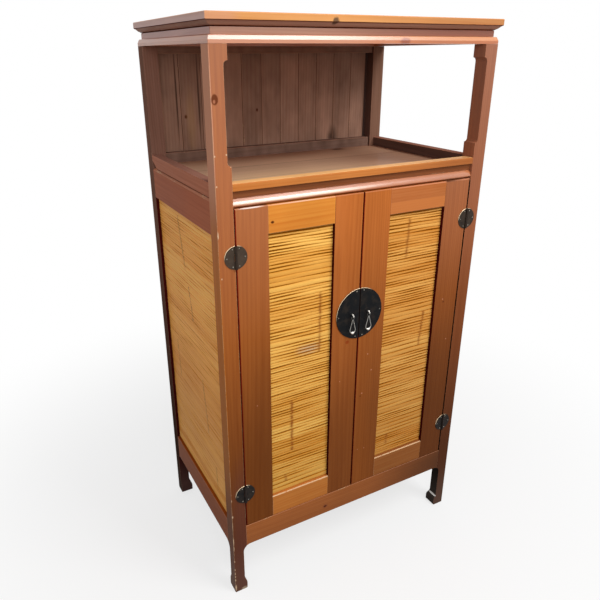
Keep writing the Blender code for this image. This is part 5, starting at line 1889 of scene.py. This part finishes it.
@dataclass(frozen=True)
class Wire:
    """A round wire along a flat line, as thick as each of its points says."""

    points: tuple[Vector, ...]
    radii: tuple[float, ...]
    polish: tuple[float, ...]
    plane: Vector
    closed: bool
    sides: int = 14

    def add_to(self, bm: bmesh.types.BMesh) -> None:
        """Sweep the wire into a mesh.

        Args:
            bm: The mesh that gains the wire.
        """
        count = len(self.points)
        polish = bm.verts.layers.float["polish"]
        rings = []
        for index, point in enumerate(self.points):
            before = self.points[index - 1] if self.closed or index else point
            after = self.points[(index + 1) % count] if self.closed or index < count - 1 else point
            across = (after - before).normalized().cross(self.plane)
            turns = [math.tau * step / self.sides for step in range(self.sides)]
            spokes = [across * math.cos(turn) + self.plane * math.sin(turn) for turn in turns]
            rings.append([bm.verts.new(point + self.radii[index] * spoke) for spoke in spokes])
            for vert in rings[-1]:
                vert[polish] = self.polish[index]
        for corners in skin(rings, self.closed):
            bm.faces.new(corners)


@dataclass
class Pull:
    """A staple in the lock plate, and the drop-shaped pull that hangs from it."""

    side: Side
    wire: float = 0.0012
    eye: float = 0.0046
    neck: float = 0.0014
    low: float = 0.0085
    bulb: float = 0.0038
    staple_wire: float = 0.0013
    staple_half_gap: float = 0.0033
    staple_root: float = 0.0024
    steps: int = 72
    eye_steps: int = 40
    bend_steps: int = 16
    polished_points: int = 12
    bulb_power: int = 6

    def build(self) -> list[bpy.types.Object]:
        """Build the staple and the pull."""
        return [self.staple(), self.pull()]

    def pull(self) -> bpy.types.Object:
        """Build the pull: an eye, and under it a drop of wire that swells to a bulb at its foot.

        Returns:
            The pull's piece.
        """
        node = self.side.word + "_pull"
        low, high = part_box(node)
        x_axis, y_axis = (low.x + high.x) / 2, (low.y + high.y) / 2
        top = high.z - self.wire
        foot = low.z + self.bulb
        bm = bmesh.new()
        bm.verts.layers.float.new("polish")
        plane = Vector((0.0, 1.0, 0.0))
        turns = [math.tau * step / self.eye_steps for step in range(self.eye_steps)]
        eye = tuple(Vector((x_axis + self.eye * math.sin(t), y_axis, top - self.eye + self.eye * math.cos(t)))
                    for t in turns)
        # The eye is dark: tarnish and painted shadow.
        Wire(eye, (self.wire,) * len(eye), (0.05,) * len(eye), plane, True).add_to(bm)
        points, radii, polish = [], [], []
        neck_z = top - 2 * self.eye - self.neck - self.wire
        low_z = foot + self.low
        lean = math.asin((self.low - self.neck) / (neck_z - low_z))
        for step in range(self.steps):
            turn = math.tau * step / self.steps
            upper = math.cos(turn) > math.sin(lean)
            radius, z_axis = (self.neck, neck_z) if upper else (self.low, low_z)
            z = z_axis + radius * math.cos(turn)
            droop = max(0.0, (low_z - z) / self.low)
            points.append(Vector((x_axis + radius * math.sin(turn), y_axis, z)))
            radii.append(self.wire + (self.bulb - self.wire) * droop ** self.bulb_power)
            # The bulb is bright: polishing and a painted highlight.
            polish.append(0.35 + 0.65 * droop ** self.bulb_power)
        Wire(tuple(points), tuple(radii), tuple(polish), plane, True).add_to(bm)
        return self.cast(bm, node)

    @staticmethod
    def cast(bm: bmesh.types.BMesh, node: str) -> bpy.types.Object:
        """Make a piece of white metal from swept wires.

        Args:
            bm: The wires' mesh.
            node: The node that the piece stands for.

        Returns:
            The piece.
        """
        bmesh.ops.recalc_face_normals(bm, faces=bm.faces[:])
        name = node + "_metal"
        return dressed(name, mesh_of(bm, name), node, "pull_metal", [WHITE_METAL.material(name)])

    def staple(self) -> bpy.types.Object:
        """Build the staple that the pull hangs in.

        Returns:
            The staple's piece.
        """
        node = self.side.word + "_staple"
        low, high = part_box(node)
        x_axis, z_axis = (low.x + high.x) / 2, (low.z + high.z) / 2
        bend = low.y + self.staple_wire + self.staple_half_gap
        points = [Vector((x_axis, high.y, z_axis + self.staple_half_gap))]
        for step in range(self.bend_steps + 1):
            turn = math.pi / 2 + math.pi * step / self.bend_steps
            points.append(Vector((x_axis, bend + self.staple_half_gap * math.cos(turn),
                                  z_axis + self.staple_half_gap * math.sin(turn))))
        points.append(Vector((x_axis, high.y, z_axis - self.staple_half_gap)))
        bm = bmesh.new()
        bm.verts.layers.float.new("polish")
        # The staple's upper leg and most of its bend are bright: painted highlight.
        polish = (1.0,) * self.polished_points + (0.1,) * (len(points) - self.polished_points)
        radii = [self.staple_root, self.staple_root] + [self.staple_wire] * (len(points) - 2)
        Wire(tuple(points), tuple(radii), polish,
             Vector((1.0, 0.0, 0.0)), False).add_to(bm)
        return self.cast(bm, node)


@dataclass
class Door:
    """One door: its frame, bamboo panel, hinges, half of the lock plate, and its pull."""

    side: Side
    hinge_radius: float = 0.0285
    lock_radius: float = 0.0725
    hinge_nail_ring: float = 0.0225
    hinge_nail_turn: float = 68.0
    lock_nail_ring: float = 0.066
    lock_nail_turn: float = 80.0
    # The upper hinges' greyer iron is painted reflection.
    upper_grey: float = 0.75
    lower_grey: float = 0.15
    lock_grey: float = 0.02
    gap_edge: float = 0.0021
    meeting_edge: float = 0.0014
    head_edge: float = 0.0024
    head_shade: float = 0.011
    faded_half: float = 0.015
    meeting_tone: Point = (0.92, 0.95, 1.06)

    @property
    def name(self) -> str:
        """Start of the door's node names."""
        return self.side.word + "_door"

    def build(self) -> list[bpy.types.Object]:
        """Build the door, and the leaves of its hinges on the post."""
        return self.frame_pieces() + self.panel() + self.hinges() + self.lock() + Pull(self.side).build()

    def frame_pieces(self) -> list[bpy.types.Object]:
        """Build the stiles and rails.

        Returns:
            Their pieces.
        """
        # Painted shade: the stiles' side faces in the gaps take a dark finish, and the gap chamfers a dark red one.
        edges = (StainedFaces(((-1.0, 0.0, 0.0), (1.0, 0.0, 0.0))), StainedFaces((), RED_GAP_SHADE))
        # A chamfer of arris finish along every top front edge: painted highlight, with wear.
        head = (Chamfer(UP, FORWARD, self.head_edge, Coat.ARRIS),)
        hinge_gap = (Chamfer(self.side.outward, FORWARD, self.gap_edge, Coat.SECOND_STAIN),)
        meeting_gap = (Chamfer(self.side.inward, FORWARD, self.meeting_edge, Coat.SECOND_STAIN),)
        lock_low, lock_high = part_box(self.side.word + "_lock_plate")
        # Painted shadow in the gap behind the lock plate.
        shade_behind_lock = (Mark(MarkKind.SOOT, (0.0, lock_high.y, (lock_low.z + lock_high.z) / 2),
                            (0.005, 0.005, (lock_high.z - lock_low.z) / 2 - 0.003)),)
        rail_low, rail_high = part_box(self.name + "_top_rail")
        stile_low, stile_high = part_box(self.name + "_hinge_stile")
        front, rail_middle = rail_low.y, (rail_low.x + rail_high.x) / 2
        hinge_marks = front_marks(self.name + "_hinge_stile")
        if self.side is Side.LEFT:
            top_tone, bottom_tone, hinge_tone = (0.96, 0.96, 1.0), (1.2, 1.18, 1.65), (0.92, 0.95, 1.0)
            # Painted highlights along the heads of the top rail and the hinge stile.
            top_marks = (*front_marks(self.name + "_top_rail"),
                         Mark(MarkKind.GLEAM, (rail_middle, front, rail_high.z),
                              (0.14, 0.004, 0.003)))
            hinge_marks += (Mark(MarkKind.GLINT, ((stile_low.x + stile_high.x) / 2, front, stile_high.z),
                                 (0.04, 0.004, 0.003)),)
        else:
            # The right door's darker tones are partly painted shade toward the right.
            top_tone, bottom_tone, hinge_tone = (0.63, 0.56, 1.1), (0.70, 0.68, 1.2), (0.78, 0.80, 1.0)
            strip = (rail_high.x - rail_low.x, 0.012, self.faded_half)
            top_marks = (Mark(MarkKind.FADED, (rail_middle, front, rail_low.z + self.faded_half), strip),)
        timbers = [
            Timber(self.name + "_hinge_stile", HINGE_STILE_WOOD, Grain.ALONG_Z, hinge_tone, arris=0.0007,
                   bloom=0.25, stains=edges, chamfers=hinge_gap + head, marks=hinge_marks),
            Timber(self.name + "_meeting_stile", STILE_WOOD, Grain.ALONG_Z, self.meeting_tone, arris=0.0007,
                   stains=edges, chamfers=meeting_gap + head,
                   marks=shade_behind_lock + front_marks(self.name + "_meeting_stile")),
            Timber(self.name + "_top_rail", PALE_WOOD, Grain.ALONG_X, top_tone, arris=0.0006, shortest=0.02,
                   chamfers=head, marks=top_marks),
            Timber(self.name + "_bottom_rail", PALE_WOOD, Grain.ALONG_X, bottom_tone, wear=1.0, arris=0.0006,
                   shortest=0.02, chamfers=head),
        ]
        return [timber.make() for timber in timbers]

    def panel(self) -> list[bpy.types.Object]:
        """Build the bamboo panel.

        Returns:
            The panel's piece.
        """
        stiles = [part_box(f"{self.name}_{kind}_stile") for kind in ("hinge", "meeting")]
        low = min(box[1].x for box in stiles)
        high = max(box[0].x for box in stiles)
        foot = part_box(self.name + "_bottom_rail")[1].z
        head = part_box(self.name + "_top_rail")[0].z
        if self.side is Side.LEFT:
            lines = (NodeLine(-0.116, -0.116, 0.714, 0.887), NodeLine(-0.199, -0.199, 0.428, 0.585, 1.0),
                     NodeLine(-0.219, -0.219, 0.325, 0.352))
            marks = (Mark(MarkKind.SCUFF, (-0.150, -0.2418, 0.733), (0.055, 0.05, 0.022)),)
            tone = (1.04, 0.96, 0.86)
        else:
            lines = (NodeLine(0.153, 0.157, 0.932, 1.047), NodeLine(0.225, 0.233, 0.647, 0.753),
                     NodeLine(0.131, 0.131, 0.325, 0.362))
            marks = ()
            # The right panel's darker tone is partly painted shade toward the right.
            tone = (0.89, 0.75, 0.72)
        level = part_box(self.name + "_bamboo_panel")[0].y
        # Painted shadow under the top rail.
        marks += (Mark(MarkKind.SHADE, ((low + high) / 2, level, head), (0.3, 0.02, self.head_shade)),)
        return BambooPanel(self.name + "_bamboo_panel", Grain.ALONG_X, FORWARD, low, high, foot, head,
                           tone, lines, marks).build()

    def hinges(self) -> list[bpy.types.Object]:
        """Build the leaves of both hinges.

        Returns:
            Their pieces.
        """
        made = []
        pivot = next(joint for joint in frame["joints"] if joint["name"] == self.name + "_hinge")
        for level, grey in (("upper", self.upper_grey), ("lower", self.lower_grey)):
            for leaf, way in (("post", self.side.value), ("door", -self.side.value)):
                node = f"{level}_{self.side.word}_hinge_{leaf}_leaf"
                centre = (pivot["pos_m"][0], middle_of(node).z)
                made += Plate(node, centre, way, self.hinge_nail_ring, self.hinge_nail_turn, grey,
                              self.hinge_radius).build()
        return made

    def lock(self) -> list[bpy.types.Object]:
        """Build the door's half of the lock plate.

        Returns:
            The plate's piece.
        """
        node = self.side.word + "_lock_plate"
        return Plate(node, (0.0, middle_of(node).z), self.side.value, self.lock_nail_ring, self.lock_nail_turn,
                     self.lock_grey, self.lock_radius).build()


@dataclass(frozen=True)
class Lamp:
    """A soft rectangular lamp."""

    name: str
    power: float
    size: tuple[float, float]
    place: Point


@dataclass
class Studio:
    """Pale floor, soft light and the camera."""

    floor_half: float = 30.0
    fade_start: float = 0.5
    fade_end: float = 1.8
    fade_share: float = 0.7
    floor_lit: Colour = (0.35, 0.35, 0.35, 1.0)
    floor_seen: Colour = (0.9, 0.9, 0.9, 1.0)
    ambient: float = 0.45
    lamps: tuple[Lamp, ...] = (Lamp("key", 46.0, (1.15, 1.4), (0.85, -1.75, 2.85)),
                               Lamp("fill", 18.0, (1.2, 1.0), (-1.1, -2.3, 1.9)))
    aim: Point = (0.0, -0.25, 1.0)
    eye: Point = (-0.8362, -1.40325, 1.448)
    heading: float = 28.09
    tilt: float = -22.54
    dip: float = 0.29
    lens: float = 34.85
    shift: tuple[float, float] = (0.0238, -0.0103)

    def build(self) -> None:
        """Set the stage."""
        self.build_floor()
        self.build_world()
        self.build_lamps()
        self.build_camera()
        bpy.context.scene.view_settings.view_transform = "Standard"

    def build_floor(self) -> None:
        """Lay the pale floor, which keeps the cabinet's shadow and runs out into white."""
        bm = bmesh.new()
        bmesh.ops.create_grid(bm, x_segments=8, y_segments=8, size=self.floor_half)
        mesh = bpy.data.meshes.new("floor")
        bm.to_mesh(mesh)
        bm.free()
        shader = Shader("pale_floor")
        seen = shader.seen()
        away = shader.vector("LENGTH", shader.coords, ORIGIN)
        grey = shader.mix(seen, self.floor_lit, self.floor_seen)
        lit = shader.node("ShaderNodeBsdfDiffuse", {"Color": grey})
        glow = shader.node("ShaderNodeEmission", {"Color": WHITE, "Strength": 1.0})
        share = shader.math("MULTIPLY", seen, shader.ease(away, self.fade_start, self.fade_end, self.fade_share, 1.0))
        both = shader.node("ShaderNodeMixShader", {0: share, 1: lit.outputs[0], 2: glow.outputs[0]})
        shader.node("ShaderNodeOutputMaterial", {"Surface": both.outputs[0]})
        mesh.materials.append(shader.material)
        floor = added("floor", mesh)

    def build_world(self) -> None:
        """White where it is seen, a plain level of light elsewhere."""
        world = bpy.data.worlds.new("studio")
        bpy.context.scene.world = world
        tree = NodeTree(world)
        plain, bright = (tree.node("ShaderNodeBackground", {"Color": WHITE, "Strength": strength}).outputs[0]
                         for strength in (self.ambient, 1.0))
        both = tree.node("ShaderNodeMixShader", {0: tree.seen(), 1: plain, 2: bright})
        tree.node("ShaderNodeOutputWorld", {"Surface": both.outputs[0]})

    def build_lamps(self) -> None:
        """Hang the soft lamps, high in front of the cabinet."""
        for lamp in self.lamps:
            light = bpy.data.lights.new(lamp.name, "AREA")
            light.shape = "RECTANGLE"
            light.size, light.size_y = lamp.size
            light.energy = lamp.power
            hung = added(lamp.name, light)
            hung.location = lamp.place
            hung.rotation_euler = (Vector(self.aim) - Vector(lamp.place)).to_track_quat("-Z", "Y").to_euler()

    def build_camera(self) -> None:
        """Stand the camera at the photograph's place."""
        heading, tilt, dip = (math.radians(angle) for angle in (self.heading, self.tilt, self.dip))
        forward = Vector((math.sin(heading) * math.cos(tilt), math.cos(heading) * math.cos(tilt), math.sin(tilt)))
        level = Vector((math.cos(heading), -math.sin(heading), 0.0))
        above = level.cross(forward)
        right = math.cos(dip) * level - math.sin(dip) * above
        up = math.sin(dip) * level + math.cos(dip) * above
        camera = added("camera", bpy.data.cameras.new("camera"))
        camera.data.lens = self.lens
        camera.data.shift_x, camera.data.shift_y = self.shift
        camera.matrix_world = Matrix.Translation(self.eye) @ Matrix((right, up, -forward)).transposed().to_4x4()
        bpy.context.scene.camera = camera


def main() -> None:
    """Set the stage, then build and report every piece."""
    logging.basicConfig(level=logging.INFO, format="%(message)s")
    Studio().build()
    assemblies = [Posts(), Rails(), Top(), Bay(), SideWall(Side.LEFT), SideWall(Side.RIGHT), Door(Side.LEFT),
                  Door(Side.RIGHT, upper_grey=0.45)]
    for assembly in assemblies:
        for piece in assembly.build():
            log.info("%s: %s, %d faces", type(assembly).__name__, piece.name, len(piece.data.polygons))


if __name__ == "__main__":
    main()
